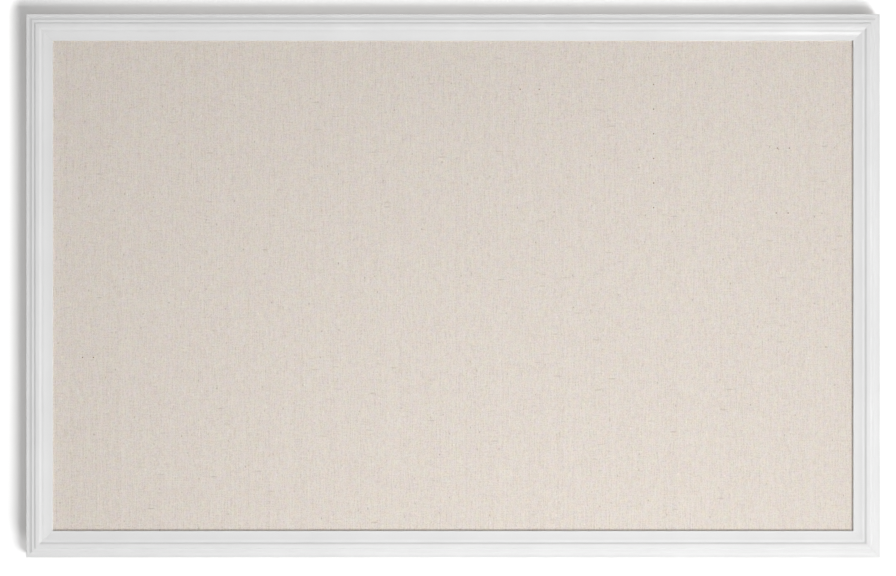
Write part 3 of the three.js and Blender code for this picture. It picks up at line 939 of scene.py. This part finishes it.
def moulding_outline(rebate_depth):
    """The moulding's whole section as (inset, height) points, and how much paint each point carries: a full
    coat on the front, less and less through the rebate, and a mist at the outer edge of the planed back."""
    front = moulding_front(rebate_depth)
    width = front[-1, 0]
    back_width = width - REBATE
    rebate = np.concatenate(
        [
            straight((width, rebate_depth), (back_width, rebate_depth), count=6)[1:],
            straight((back_width, rebate_depth), (back_width, BACK_PLANING), count=6)[1:],
        ]
    )
    back = straight((back_width, BACK_PLANING), (0, BACK_PLANING), count=16)[1:-1]
    coat = np.concatenate(
        [
            np.ones(len(front)),
            np.linspace(*REBATE_COAT, len(rebate)),
            np.interp(back[:, 0], OVERSPRAY_REACH, OVERSPRAY_COAT),
        ]
    )
    return np.concatenate([front, rebate, back]), coat


def make_rail(name, quarter, finish):
    """A mitred rail: the moulding's outline carried from one mitre to the other. A point that lies further
    in stops that much sooner, so along = t (half the length - inset), with t from -1 to 1. Its finish reads
    the run along and round the rail, the coat of paint, the rail's painted light, and the painted shade,
    which lies on the outer band and where the outline climbs."""
    low, high = solid_box
    sides = (high.x - low.x, high.z - low.z)
    length, offset = (sides[quarter % 2], sides[1 - quarter % 2] / 2)
    rail_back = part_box("frame_rail_top")[1].y
    rebate_depth = rail_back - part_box("linen_cover")[0].y + FIELD_GAP
    outline, coat = moulding_outline(rebate_depth)
    inset, height = outline.T
    t = np.linspace(-1, 1, SHORT_RAIL_STEPS if quarter % 2 else LONG_RAIL_STEPS)[:, None]
    along = t * (length / 2 - inset - MITRE_HAIRLINE)
    across = inset - offset
    turn = quarter * math.pi / 2
    x = along * math.cos(turn) - across * math.sin(turn)
    z = along * math.sin(turn) + across * math.cos(turn)
    points = on_grid(x, rail_back - height, z)
    rows, columns = along.shape
    ends = [np.arange(columns), np.arange(columns)[::-1] + (rows - 1) * columns]
    mesh = make_mesh(name, points.reshape(-1, 3), grid_quads(rows, columns, True), ends)
    girth = np.broadcast_to(run_length(outline), along.shape)
    seed = np.full(along.shape, quarter * RAIL_SEED)
    # Painted shade: the outer band and the faces that climb outwards are darkened in the paint
    climb = np.gradient(height) / np.hypot(np.gradient(inset), np.gradient(height))
    dust = np.where(inset > OUTER_BAND, climb.clip(0), BAND_PAINTED_SHADE) * (coat == 1)
    keep_values(mesh, "run", np.stack([along, girth, seed], axis=-1).reshape(-1, 3))
    keep_values(mesh, "coat", np.broadcast_to(coat, along.shape).ravel())
    keep_values(mesh, "dust", np.broadcast_to(dust, along.shape).ravel())
    # Painted light: the rail's paint is made lighter by its listed factor
    keep_values(mesh, "spray", np.full(along.size, RAIL_PAINTED_LIGHT[name]))
    add_piece("moulded_" + name, mesh, finish, "frame", "frame_paint", "frame_" + name, sharp_degrees=50)


# Panel

def edge_ring(columns, rows):
    """Numbers of a grid's border points in order, and for each one the outward direction in x and z."""
    number = np.arange(rows * columns).reshape(rows, columns)
    ring = np.concatenate([number[0, :-1], number[:-1, -1], number[-1, :0:-1], number[:0:-1, 0]])
    row, column = np.divmod(ring, columns)
    out_x = np.sign(column / (columns - 1) - 0.5) * ((column == 0) | (column == columns - 1))
    out_z = np.sign(row / (rows - 1) - 0.5) * ((row == 0) | (row == rows - 1))
    return ring, np.stack([out_x, out_z], axis=1)


def turned_edge(radius, depth, bend_points, side_points):
    """Steps (out, behind) over a panel's edge: a quarter bend, straight back, and a quarter bend in."""
    return np.concatenate(
        [
            bend((0, 0), (radius, 0), (radius, radius), bend_points)[1:],
            straight((radius, radius), (radius, depth - radius), side_points)[1:],
            bend((radius, depth - radius), (radius, depth), (0, depth), bend_points)[1:],
        ]
    )


def wrapped_sheet(half_x, half_z, face_y, edge_line, columns, rows):
    """A flat face on a grid whose border is carried on over the panel's edge: edge_line gives, step by step,
    how far out from the border and how far behind the face the sheet lies. Each step is the border scaled
    about the middle, so its four sides meet in mitres. Also gives each point's place on the flat cloth."""
    x, z = np.meshgrid(np.linspace(-half_x, half_x, columns), np.linspace(-half_z, half_z, rows))
    face = on_grid(x, face_y, z).reshape(-1, 3)
    ring, outward = edge_ring(columns, rows)
    out, behind = edge_line.T
    girth = run_length(np.concatenate([[[0, 0]], edge_line]))[1:]
    sides = face[ring][None, :, :].repeat(len(edge_line), axis=0)
    sides[..., 0] *= 1 + out[:, None] / half_x
    sides[..., 2] *= 1 + out[:, None] / half_z
    sides[..., 1] += behind[:, None]
    flat_face = face[:, [0, 2, 1]] * [1, 1, 0]
    flat_sides = flat_face[ring][None].repeat(len(edge_line), axis=0)
    flat_sides[..., :2] += girth[:, None, None] * outward
    points = np.concatenate([face, sides.reshape(-1, 3)])
    flat = np.concatenate([flat_face, flat_sides.reshape(-1, 3)])
    count = len(ring)
    first = np.stack([ring, np.roll(ring, -1)], axis=1)
    later = len(face) + np.arange(count)
    second = np.stack([np.roll(later, -1), later], axis=1)
    joint = np.concatenate([first, second], axis=1)
    rim = grid_quads(len(edge_line), count, True) + len(face)
    quads = np.concatenate([grid_quads(rows, columns), joint, rim[:, ::-1]])
    return points, quads, flat


def make_linen(finish):
    """Linen stretched over the core: a face with the faint pillow and ripple of cloth under tension, turned
    over the core's rounded edge and folded back as a hem. The ripple is sin(61 x + 2.1 sin 17 z) times
    sin(47 z + 1.7 sin(13 x + 1)), and it dies out towards the edges. The cut size is the face and what is
    turned over on all sides; the area is less by the corners, which are cut so that the hems meet."""
    low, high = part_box("linen_cover")
    depth = high.y - low.y - HEM_GAP
    half_x = high.x - CORE_ROUND
    half_z = high.z - CORE_ROUND
    hem = straight((0, depth), (CORE_ROUND - HEM, depth), count=6)[1:]
    edge = np.concatenate([turned_edge(CORE_ROUND, depth, bend_points=7, side_points=4), hem])
    columns, rows = LINEN_GRID
    points, quads, flat = wrapped_sheet(half_x, half_z, low.y, edge, columns, rows)
    face = np.arange(columns * rows)
    x, z = points[face, 0], points[face, 2]
    room = np.minimum(half_x - abs(x), half_z - abs(z))
    calm = 1 - np.exp(-((room - RIPPLE_MARGIN) / RIPPLE_RISE).clip(0) ** 2)
    ripple = np.sin(x * 61 + 2.1 * np.sin(z * 17)) * np.sin(z * 47 + 1.7 * np.sin(x * 13 + 1.0))
    points[face, 1] += (0.5 + 0.5 * ripple) * calm * RIPPLE
    mesh = make_mesh("linen", points, quads[:, ::-1], weld=False)
    keep_values(mesh, "cloth", flat)
    piece = add_piece("linen_sheet", mesh, finish, "frame", "linen", "linen_cover", sharp_degrees=60)
    cloth = piece.modifiers.new("cloth", "SOLIDIFY")
    cloth.thickness = CLOTH_THICKNESS
    cloth.offset = -1.0


def make_backing(finish):
    """Hardboard panel: a face and a back joined by an edge that is rounded at its arrises."""
    low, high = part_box("backing_board")
    half_x = high.x - BACKING_ROUND
    half_z = high.z - BACKING_ROUND
    edge = turned_edge(BACKING_ROUND, high.y - low.y, bend_points=5, side_points=3)
    columns, rows = BACKING_GRID
    points, quads, _ = wrapped_sheet(half_x, half_z, low.y, edge, columns, rows)
    back = points[: columns * rows] * [1, 0, 1] + [0, high.y, 0]
    quads = np.concatenate([quads, grid_quads(rows, columns)[:, ::-1] + len(points)])
    mesh = make_mesh("backing", np.concatenate([points, back]), quads)
    add_piece("hardboard_back", mesh, finish, "frame", "backing", "backing_board", sharp_degrees=50)


# Small steel and rubber

def lathe(profile, count):
    """Points of (radius, height) turned about an axis: x = r cos a, y = r sin a, z = height."""
    angle = np.linspace(0, 2 * math.pi, count, endpoint=False)[None, :]
    radius, height = profile.T[:, :, None]
    return on_grid(radius * np.cos(angle), radius * np.sin(angle), height)


def facing_wall(points, centre):
    """Puts a shape drawn with +z towards the wall and y up at its place on the board's back."""
    placed = np.stack([-points[..., 0], points[..., 2], points[..., 1]], axis=-1)
    return placed + np.array(centre)


def eye_outline(angle, eye, tip, tip_far):
    """Distance from the eye's centre to a button's edge: the eye's circle, then a straight side that touches
    both circles, then the tip's circle. angle is from the button's length."""
    lean = math.asin((eye - tip) / tip_far)
    from_side = math.pi / 2 - lean - np.abs(angle)
    side = eye / np.cos(np.clip(from_side, 0, NEAR_QUARTER_TURN))
    miss = np.clip(tip**2 - (tip_far * np.sin(angle)) ** 2, 0, None)
    round_tip = tip_far * np.cos(angle) + np.sqrt(miss)
    meet = math.atan2(tip * math.cos(lean), tip_far + tip * math.sin(lean))
    return np.where(from_side < 0, eye, np.where(np.abs(angle) > meet, side, round_tip))


def from_hole(reach, rings):
    """Distances along rays, in even steps from a screw hole's edge out to each ray's reach."""
    hole = SCREW_SHANK + HOLE_CLEARANCE
    return hole + np.linspace(0, 1, rings)[:, None] * (reach - hole)


def stamp(piece, thickness):
    """Gives a flat blank its thickness and the rounded edges of a stamping."""
    plate = piece.modifiers.new("plate", "SOLIDIFY")
    plate.thickness = thickness
    plate.offset = 0.0
    edge = piece.modifiers.new("edge", "BEVEL")
    edge.width = STEEL_EDGE
    edge.segments = 3
    edge.limit_method = "ANGLE"
    edge.angle_limit = math.radians(STEEL_CORNER_DEGREES)
    edge.harden_normals = True


def make_button(node, finish):
    """A turn button's blank: rays from the screw hole's edge out to the button's outline."""
    low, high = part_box(node)
    joint = joint_of(frame["nodes"][node]["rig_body"])
    pivot = np.array(joint["pos_m"])
    middle = np.array((low + high) / 2)
    heading = math.atan2(middle[2] - pivot[2], middle[0] - pivot[0])
    reach = max(high.x - low.x, high.z - low.z) - BUTTON_EYE
    angle = np.linspace(-math.pi, math.pi, BUTTON_RAYS, endpoint=False)
    edge = eye_outline(angle, BUTTON_EYE, BUTTON_TIP, reach - BUTTON_TIP)
    radius = from_hole(edge, BUTTON_RINGS)
    x = pivot[0] + radius * np.cos(angle + heading)
    z = pivot[2] + radius * np.sin(angle + heading)
    points = on_grid(x, middle[1], z)
    mesh = make_mesh(node, points.reshape(-1, 3), grid_quads(BUTTON_RINGS, BUTTON_RAYS, True))
    piece = add_piece("plate_" + node, mesh, finish, joint["child"], "zinc_steel", node)
    stamp(piece, high.y - low.y)


def recess_bar(along, across):
    """1 inside one bar of a cross recess, fading over its sloped walls."""
    end = np.clip((RECESS_LENGTH / 2 - np.abs(along)) / RECESS_END_SLOPE, 0, 1)
    side = np.clip((RECESS_WIDTH / 2 - np.abs(across)) / RECESS_SIDE_SLOPE, 0, 1)
    return end * side


def make_screw(node, turn, finish):
    """A pan-head screw turned on a lathe: domed head, rim, threaded shank and point. The cross recess sinks
    the head where either of two crossed bars covers it; the thread lifts the shank along a helix."""
    low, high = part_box(node)
    centre = (low + high) / 2
    length = (high.y - low.y) - SCREW_HEAD_HEIGHT
    dome_edge = np.linspace(RECESS_ZONE + DOME_STEP, SCREW_HEAD * DOME_END, num=10)
    dome_r = np.concatenate([np.linspace(0, RECESS_ZONE, num=26), dome_edge])
    dome = SCREW_RIM + (SCREW_HEAD_HEIGHT - SCREW_RIM) * np.sqrt(1 - (dome_r / SCREW_HEAD) ** 2)
    shank_z = np.linspace(0, -length + SCREW_TIP, num=70)
    profile = np.concatenate(
        [
            np.stack([dome_r, dome], axis=1),
            bend(
                (SCREW_HEAD, SCREW_RIM), (SCREW_HEAD, SCREW_RIM / 2), (SCREW_HEAD, SCREW_RIM_ROUND), count=4
            ),
            [(SCREW_HEAD - SCREW_RIM_ROUND, 0), (SCREW_SHANK + SCREW_NECK, 0)],
            np.stack([np.full_like(shank_z, SCREW_CORE), shank_z], axis=1),
            straight((SCREW_CORE, -length + SCREW_TIP), (0, -length), count=14)[1:],
        ]
    )
    points = lathe(profile, SCREW_SIDES)
    x, y = points[..., 0], points[..., 1]
    angle = np.arctan2(y, x)
    head = np.arange(len(profile))[:, None] < len(dome_r)
    recess = np.maximum(recess_bar(x, y), recess_bar(y, x)) * RECESS_DEPTH
    points[..., 2] -= np.where(head, recess, 0)
    on_shank = (profile[:, 1] < -THREAD_START)[:, None]
    phase = (points[..., 2] / THREAD_PITCH + angle / (2 * math.pi)) % 1.0
    ridge = np.clip(1 - np.abs(phase - 0.5) / THREAD_FLANK, 0, 1) * (SCREW_SHANK - SCREW_CORE)
    taper = np.clip((points[..., 2] + length) / SCREW_TIP, 0, 1)
    radius = np.hypot(x, y)
    grow = np.where(on_shank & (radius > TINY), 1 + ridge * taper / np.maximum(radius, TINY), 1.0)
    points[..., 0] *= grow
    points[..., 1] *= grow
    c, s = math.cos(turn), math.sin(turn)
    turned = np.stack([x * c - y * s, x * s + y * c, points[..., 2]], axis=-1)
    placed = facing_wall(turned, (centre.x, high.y - SCREW_HEAD_HEIGHT, centre.z))
    mesh = make_mesh(node, placed.reshape(-1, 3), grid_quads(len(profile), SCREW_SIDES, True))
    add_piece("turned_" + node, mesh, finish, "frame", "zinc_steel", node, sharp_degrees=35)


def sweep(path, radius, sides):
    """A round wire of changing radius along a flat path in x and z: at each point a circle square to it."""
    along = np.gradient(path, axis=0)
    along /= np.linalg.norm(along, axis=1, keepdims=True)
    across = np.stack([-along[:, 1], along[:, 0]], axis=1)
    angle = np.linspace(0, 2 * math.pi, sides, endpoint=False)
    out = radius[:, None] * np.cos(angle)
    lift = radius[:, None] * np.sin(angle)
    return on_grid(path[:, :1] + across[:, :1] * out, lift, path[:, 1:] + across[:, 1:] * out)


def make_ring(node, finish):
    """A wire bent to a D: bar, two corners, straight sides and a half-round bow, its ends rounded over."""
    low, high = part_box(node)
    joint = joint_of(frame["nodes"][node]["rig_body"])
    pivot = np.array(joint["pos_m"])
    half = (high.x - low.x - WIRE) / 2
    bow = high.z - pivot[2] - WIRE / 2 - half
    bend_at = half - RING_CORNER
    right = np.concatenate(
        [
            straight((RING_BUTT_GAP / 2, 0), (bend_at, 0), count=10),
            arc((bend_at, RING_CORNER), RING_CORNER, -1, 0)[1:],
            straight((half, RING_CORNER), (half, bow), count=6)[1:],
            arc((0, bow), half, 0, 1, count=30)[1:],
        ]
    )
    path = np.concatenate([right, (right * [-1, 1])[-2::-1]])
    run = run_length(path)
    nose = WIRE_NOSE * np.array(WIRE_NOSE_POINTS)
    stations = np.unique(np.concatenate([run, nose, run[-1] - nose]))
    path = np.stack([np.interp(stations, run, path[:, k]) for k in range(2)], axis=1)
    from_end = np.minimum(stations, run[-1] - stations)
    radius = WIRE / 2 * np.sqrt(1 - np.clip(1 - from_end / WIRE_NOSE, 0, 1) ** 2)
    points = sweep(path, radius, WIRE_SIDES) + pivot
    mesh = make_mesh(node, points.reshape(-1, 3), grid_quads(len(path), WIRE_SIDES, True))
    add_piece("bent_" + node, mesh, finish, joint["child"], "zinc_steel", node)


def strap_bend(knuckle, outer_y):
    """The fold of a strap as (z, y) points about its ring's bar: up the frame's back, half round the bar,
    and down in an S to where the strip lies on itself."""
    return np.concatenate(
        [
            straight((-STRAP_FOLD, -knuckle), (0, -knuckle), count=5),
            arc((0, 0), knuckle, -1, 1, count=26)[1:-1],
            ogee((0, knuckle), (-STRAP_FOLD, outer_y), count=22),
        ]
    )


def strap_end(columns, hole_z, end_z):
    """One end of a strap as x and z on rays from its screw hole. Rays that go up end on the fold, at its
    columns; the others end on the strip's straight sides or on its half-round end."""
    half = columns[-1]
    fold = -STRAP_FOLD - hole_z
    fold_angles = np.arctan2(fold, columns)
    rest_angles = np.linspace(fold_angles[0], fold_angles[-1] + 2 * math.pi, STRAP_RAYS)[1:-1]
    angle = np.concatenate([fold_angles[::-1], rest_angles])
    x_dir, z_dir = np.cos(angle), np.sin(angle)
    to_side = half / np.maximum(np.abs(x_dir), TINY)
    to_fold = np.where(z_dir > 0, fold / np.maximum(z_dir, TINY), np.inf)
    bow = end_z + half - hole_z
    to_round = bow * z_dir + np.sqrt(np.clip(half**2 - (bow * x_dir) ** 2, 0, None))
    below = to_side * z_dir < bow
    radius = from_hole(np.where(below, to_round, np.minimum(to_side, to_fold)), STRAP_RINGS)
    return radius * x_dir, hole_z + radius * z_dir


def make_strap(node, side, finish):
    """A hanger strap: a strip with round ends, folded over the ring's bar so that it lies on itself. The
    fold is its bend carried across the strip's columns, and it joins the two ends."""
    low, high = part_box(node)
    pivot = np.array(joint_of("ring_" + side)["pos_m"])
    screw_low, screw_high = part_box("hanger_screw_" + side)
    hole_z = (screw_low.z + screw_high.z) / 2 - pivot[2]
    half = (high.x - low.x) / 2
    knuckle = high.z - pivot[2] - STRAP_LAYER / 2
    inner_y = -knuckle
    outer_y = inner_y + STRAP_LAYER + STRAP_LAYER_GAP
    columns = np.linspace(-half, half, STRAP_COLUMNS)
    line = strap_bend(knuckle, outer_y)
    fold = on_grid(columns, line[:, 1:], line[:, :1])
    end_x, end_z = strap_end(columns, hole_z, low.z - pivot[2])
    grids = [fold, on_grid(end_x, inner_y, end_z), on_grid(end_x, outer_y, end_z)]
    points = [grid.reshape(-1, 3) for grid in grids]
    starts = np.cumsum([0] + [len(p) for p in points])
    end_quads = grid_quads(*end_x.shape, True)
    quads = [grid_quads(*fold.shape[:2]), end_quads + starts[1], end_quads[:, ::-1] + starts[2]]
    mesh = make_mesh(node, np.concatenate(points) + pivot, np.concatenate(quads))
    piece = add_piece("folded_" + node, mesh, finish, "frame", "zinc_steel", node)
    stamp(piece, STRAP_LAYER)


def make_bumper(node, finish):
    """A rubber bumper: a tapered button with a rounded, slightly dished face, its base against the frame."""
    low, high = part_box(node)
    centre = (low + high) / 2
    base = (high.x - low.x) / 2
    tall = high.y - low.y
    face = BUMPER_FACE_SHARE * base
    dish = np.linspace(0, face - BUMPER_ROUND, num=10)
    shoulder = (face + BUMPER_FLARE, tall - BUMPER_ROUND)
    foot = (base, BUMPER_FOOT)
    profile = np.concatenate(
        [
            np.stack([dish, tall - BUMPER_DISH * (1 - (dish / dish[-1]) ** 2)], axis=1),
            bend((face - BUMPER_ROUND, tall), (face, tall), shoulder, count=9)[1:],
            bend(shoulder, (base - BUMPER_WAIST_IN, BUMPER_WAIST), foot, count=9)[1:],
            bend(foot, (base, 0), (base - BUMPER_FOOT_ROUND, 0), count=6)[1:],
            [(0, 0)],
        ]
    )
    points = facing_wall(lathe(profile, BUMPER_SIDES), (centre.x, low.y, centre.z))
    mesh = make_mesh(node, points.reshape(-1, 3), grid_quads(len(profile), BUMPER_SIDES, True))
    add_piece("moulded_" + node, mesh, finish, "frame", "bumper_rubber", node)


# Stage

def wall_finish():
    """A white wall, seen from its front only, with the board's shadow. It lets lamps shine through from
    behind, and fades into the white background away from the board. far is the distance outside the
    shadow, a rectangle with round corners. A painted glow, seen only by the camera, lifts the shadow,
    most along the middles of its sides, and the open wall, most at the top left and away from the board."""
    f = new_finish("white_wall")
    x, _, z = f.parts(f.place())
    past_x = f.higher(x + SHADOW_SHORT_RIGHT, -x - SHADOW_LEFT) - BOARD_HALF_X
    past_z = f.higher(z - SHADOW_UP, SHADOW_SHORT_BELOW - z) - BOARD_HALF_Z
    out_x = f.higher(past_x + SHADOW_ROUND, 0.0)
    out_z = f.higher(past_z + SHADOW_ROUND, 0.0)
    far = (out_x**2 + out_z**2) ** 0.5 - SHADOW_ROUND
    fade = f.ease(far, WALL_GONE, WALL_WHOLE)
    middle_x = 1 - f.lower(abs(x) / BOARD_HALF_X, 1.0) ** SHADOW_GLOW_POWER
    middle_z = 1 - f.lower(abs(z) / BOARD_HALF_Z, 1.0) ** SHADOW_GLOW_POWER
    # Painted light, seen only by the camera: a glow that lifts the shadow and whitens the open wall
    painted_shadow_lift = SHADOW_GLOW + middle_x * SHADOW_GLOW_ABOVE + middle_z * SHADOW_GLOW_BESIDE
    away = f.higher(WALL_GLOW - (x / BOARD_HALF_X - z / BOARD_HALF_Z) * WALL_GLOW / 2, 0.0)
    away = away + f.ease(far, *WALL_GLOW_RISE) * WALL_GLOW
    open_wall = f.ease(far, *SHADOW_EDGE)
    glow = painted_shadow_lift + (away - painted_shadow_lift) * open_wall
    glow_colour = f.shade(f.mix(open_wall, SHADOW_WARMTH, WHITE), f.seen() * glow)
    front = 1 - f.node("NewGeometry", "Backfacing")
    first_hit = 1 - (f.node("LightPath", "Diffuse Depth") > 0.5)
    solid = 1 - f.node("LightPath", "Is Shadow Ray") * first_hit
    paint = f.node("BsdfDiffuse", sockets={"Color": f.colour(WALL_PAINT)})
    lit = f.node("Emission", sockets={"Color": glow_colour, "Strength": 1.0})
    wall = f.node("AddShader", sockets={0: paint, 1: lit})
    clear = f.node("BsdfTransparent")
    return f.end(f.node("MixShader", sockets={0: fade * front * solid, 1: clear, 2: wall}))


def make_wall(finish):
    """The wall behind the board, as one upright rectangle."""
    signs = np.array([(-1, 0, -1), (1, 0, -1), (1, 0, 1), (-1, 0, 1)])
    corners = signs * [WALL_HALF_X, 0, WALL_HALF_Z]
    mesh = make_mesh("wall", corners, np.array([[0, 1, 2, 3]]), weld=False)
    mesh.materials.append(finish)
    wall_piece = bpy.data.objects.new("wall", mesh)
    bpy.context.scene.collection.objects.link(wall_piece)


def make_world():
    """Even light from all round, and a white background for what is seen directly or in a reflection."""
    world = bpy.data.worlds.new("studio")
    bpy.context.scene.world = world
    f = Finish(world)
    _, _, up = f.parts(f.node("TexCoord", "Generated"))
    fill = FILL_SHARE * (1 + up * SKY_TILT)
    strength = fill + f.seen() * (1 - fill)
    f.end(f.node("Background", sockets={"Color": f.colour(WHITE), "Strength": strength}), "World")


def add_lamp(name, place, aim, size, share, spread_degrees=180.0):
    """A round soft box. Its beam dims away from its axis, in a straight line with the tangent of the angle,
    to nothing at half its spread. Its power puts a share of full light on the spot it is aimed at, summed
    over points laid on its disc like sunflower seeds."""
    place, aim = Vector(place), Vector(aim)
    turn = (aim - place).to_track_quat("-Z", "Y")
    half_spread = math.radians(spread_degrees) / 2
    seed = np.arange(LAMP_POINTS)
    radius = size / 2 * np.sqrt((seed + 0.5) / LAMP_POINTS)
    angle = seed * math.pi * (3 - math.sqrt(5))
    disc = np.stack([radius * np.cos(angle), radius * np.sin(angle), 0 * radius], axis=1)
    to_board = np.array(aim - place) - disc @ np.array(turn.to_matrix()).T
    distance = np.linalg.norm(to_board, axis=1)
    off_axis = np.arccos(to_board @ np.array(aim - place) / (distance * (aim - place).length))
    beam_end = math.tan(half_spread)
    beam = np.clip(beam_end - np.tan(off_axis), 0, None) / (beam_end - half_spread)
    received = np.mean(beam * np.cos(off_axis) * np.abs(to_board[:, 1]) / distance**3)
    lamp = bpy.data.lights.new(name, "AREA")
    lamp.shape = "DISK"
    lamp.size = size
    lamp.spread = 2 * half_spread
    lamp.energy = share * math.pi**2 / received
    holder = bpy.data.objects.new(name, lamp)
    holder.location = place
    holder.rotation_euler = turn.to_euler()
    holder.visible_camera = False
    bpy.context.scene.collection.objects.link(holder)


def make_camera():
    """A long lens square to the board, placed so that its edges fall where the photograph has them."""
    low, high = solid_box
    rail_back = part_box("frame_rail_top")[1].y
    edge_y = rail_back - (rail_back - low.y) * EDGE_DEPTH_SHARE
    pixels_per_metre = (BOARD_RIGHT - BOARD_LEFT) / (high.x - low.x)
    distance = PHOTO_WIDTH * LENS / SENSOR / pixels_per_metre
    camera = bpy.data.objects.new("camera", bpy.data.cameras.new("camera"))
    camera.data.lens = LENS
    camera.data.sensor_width = SENSOR
    camera.location = (
        (PHOTO_WIDTH / 2 - (BOARD_LEFT + BOARD_RIGHT) / 2) / pixels_per_metre,
        edge_y - distance,
        ((BOARD_TOP + BOARD_BOTTOM) / 2 - PHOTO_HEIGHT / 2) / pixels_per_metre,
    )
    camera.rotation_euler = (math.pi / 2, 0, 0)
    bpy.context.scene.collection.objects.link(camera)
    bpy.context.scene.camera = camera


def dress_node(node, finish):
    """Gives a CAD node that stays its own finish."""
    shape = frame["nodes"][node]
    shape.data.materials.clear()
    shape.data.materials.append(finish)


bpy.context.scene.view_settings.view_transform = "Standard"
make_camera()
make_wall(wall_finish())
make_world()
add_lamp("key", **KEY_LAMP)
add_lamp("glint", **GLINT_LAMP)
add_lamp("back_light", **BACK_LAMP)

paint = painted_wood_finish()
zinc = zinc_finish()
rubber = rubber_finish()
for quarter, rail in enumerate(RAIL_PAINTED_LIGHT):
    make_rail(rail, quarter, paint)
make_linen(linen_finish())
make_backing(hardboard_finish())
dress_node("pin_core", softboard_finish())

names = sorted(frame["nodes"])
for node in names:
    if node.startswith("turn_button"):
        make_button(node, zinc)
    elif node.startswith("wall_bumper"):
        make_bumper(node, rubber)
    elif node.startswith("wedge_nail"):
        dress_node(node, zinc)
for i, node in enumerate(n for n in names if "_screw_" in n):
    make_screw(node, i * SCREW_TURN, zinc)
for side in ("left", "right"):
    make_ring("hanger_ring_" + side, zinc)
    make_strap("hanger_strap_" + side, side, zinc)
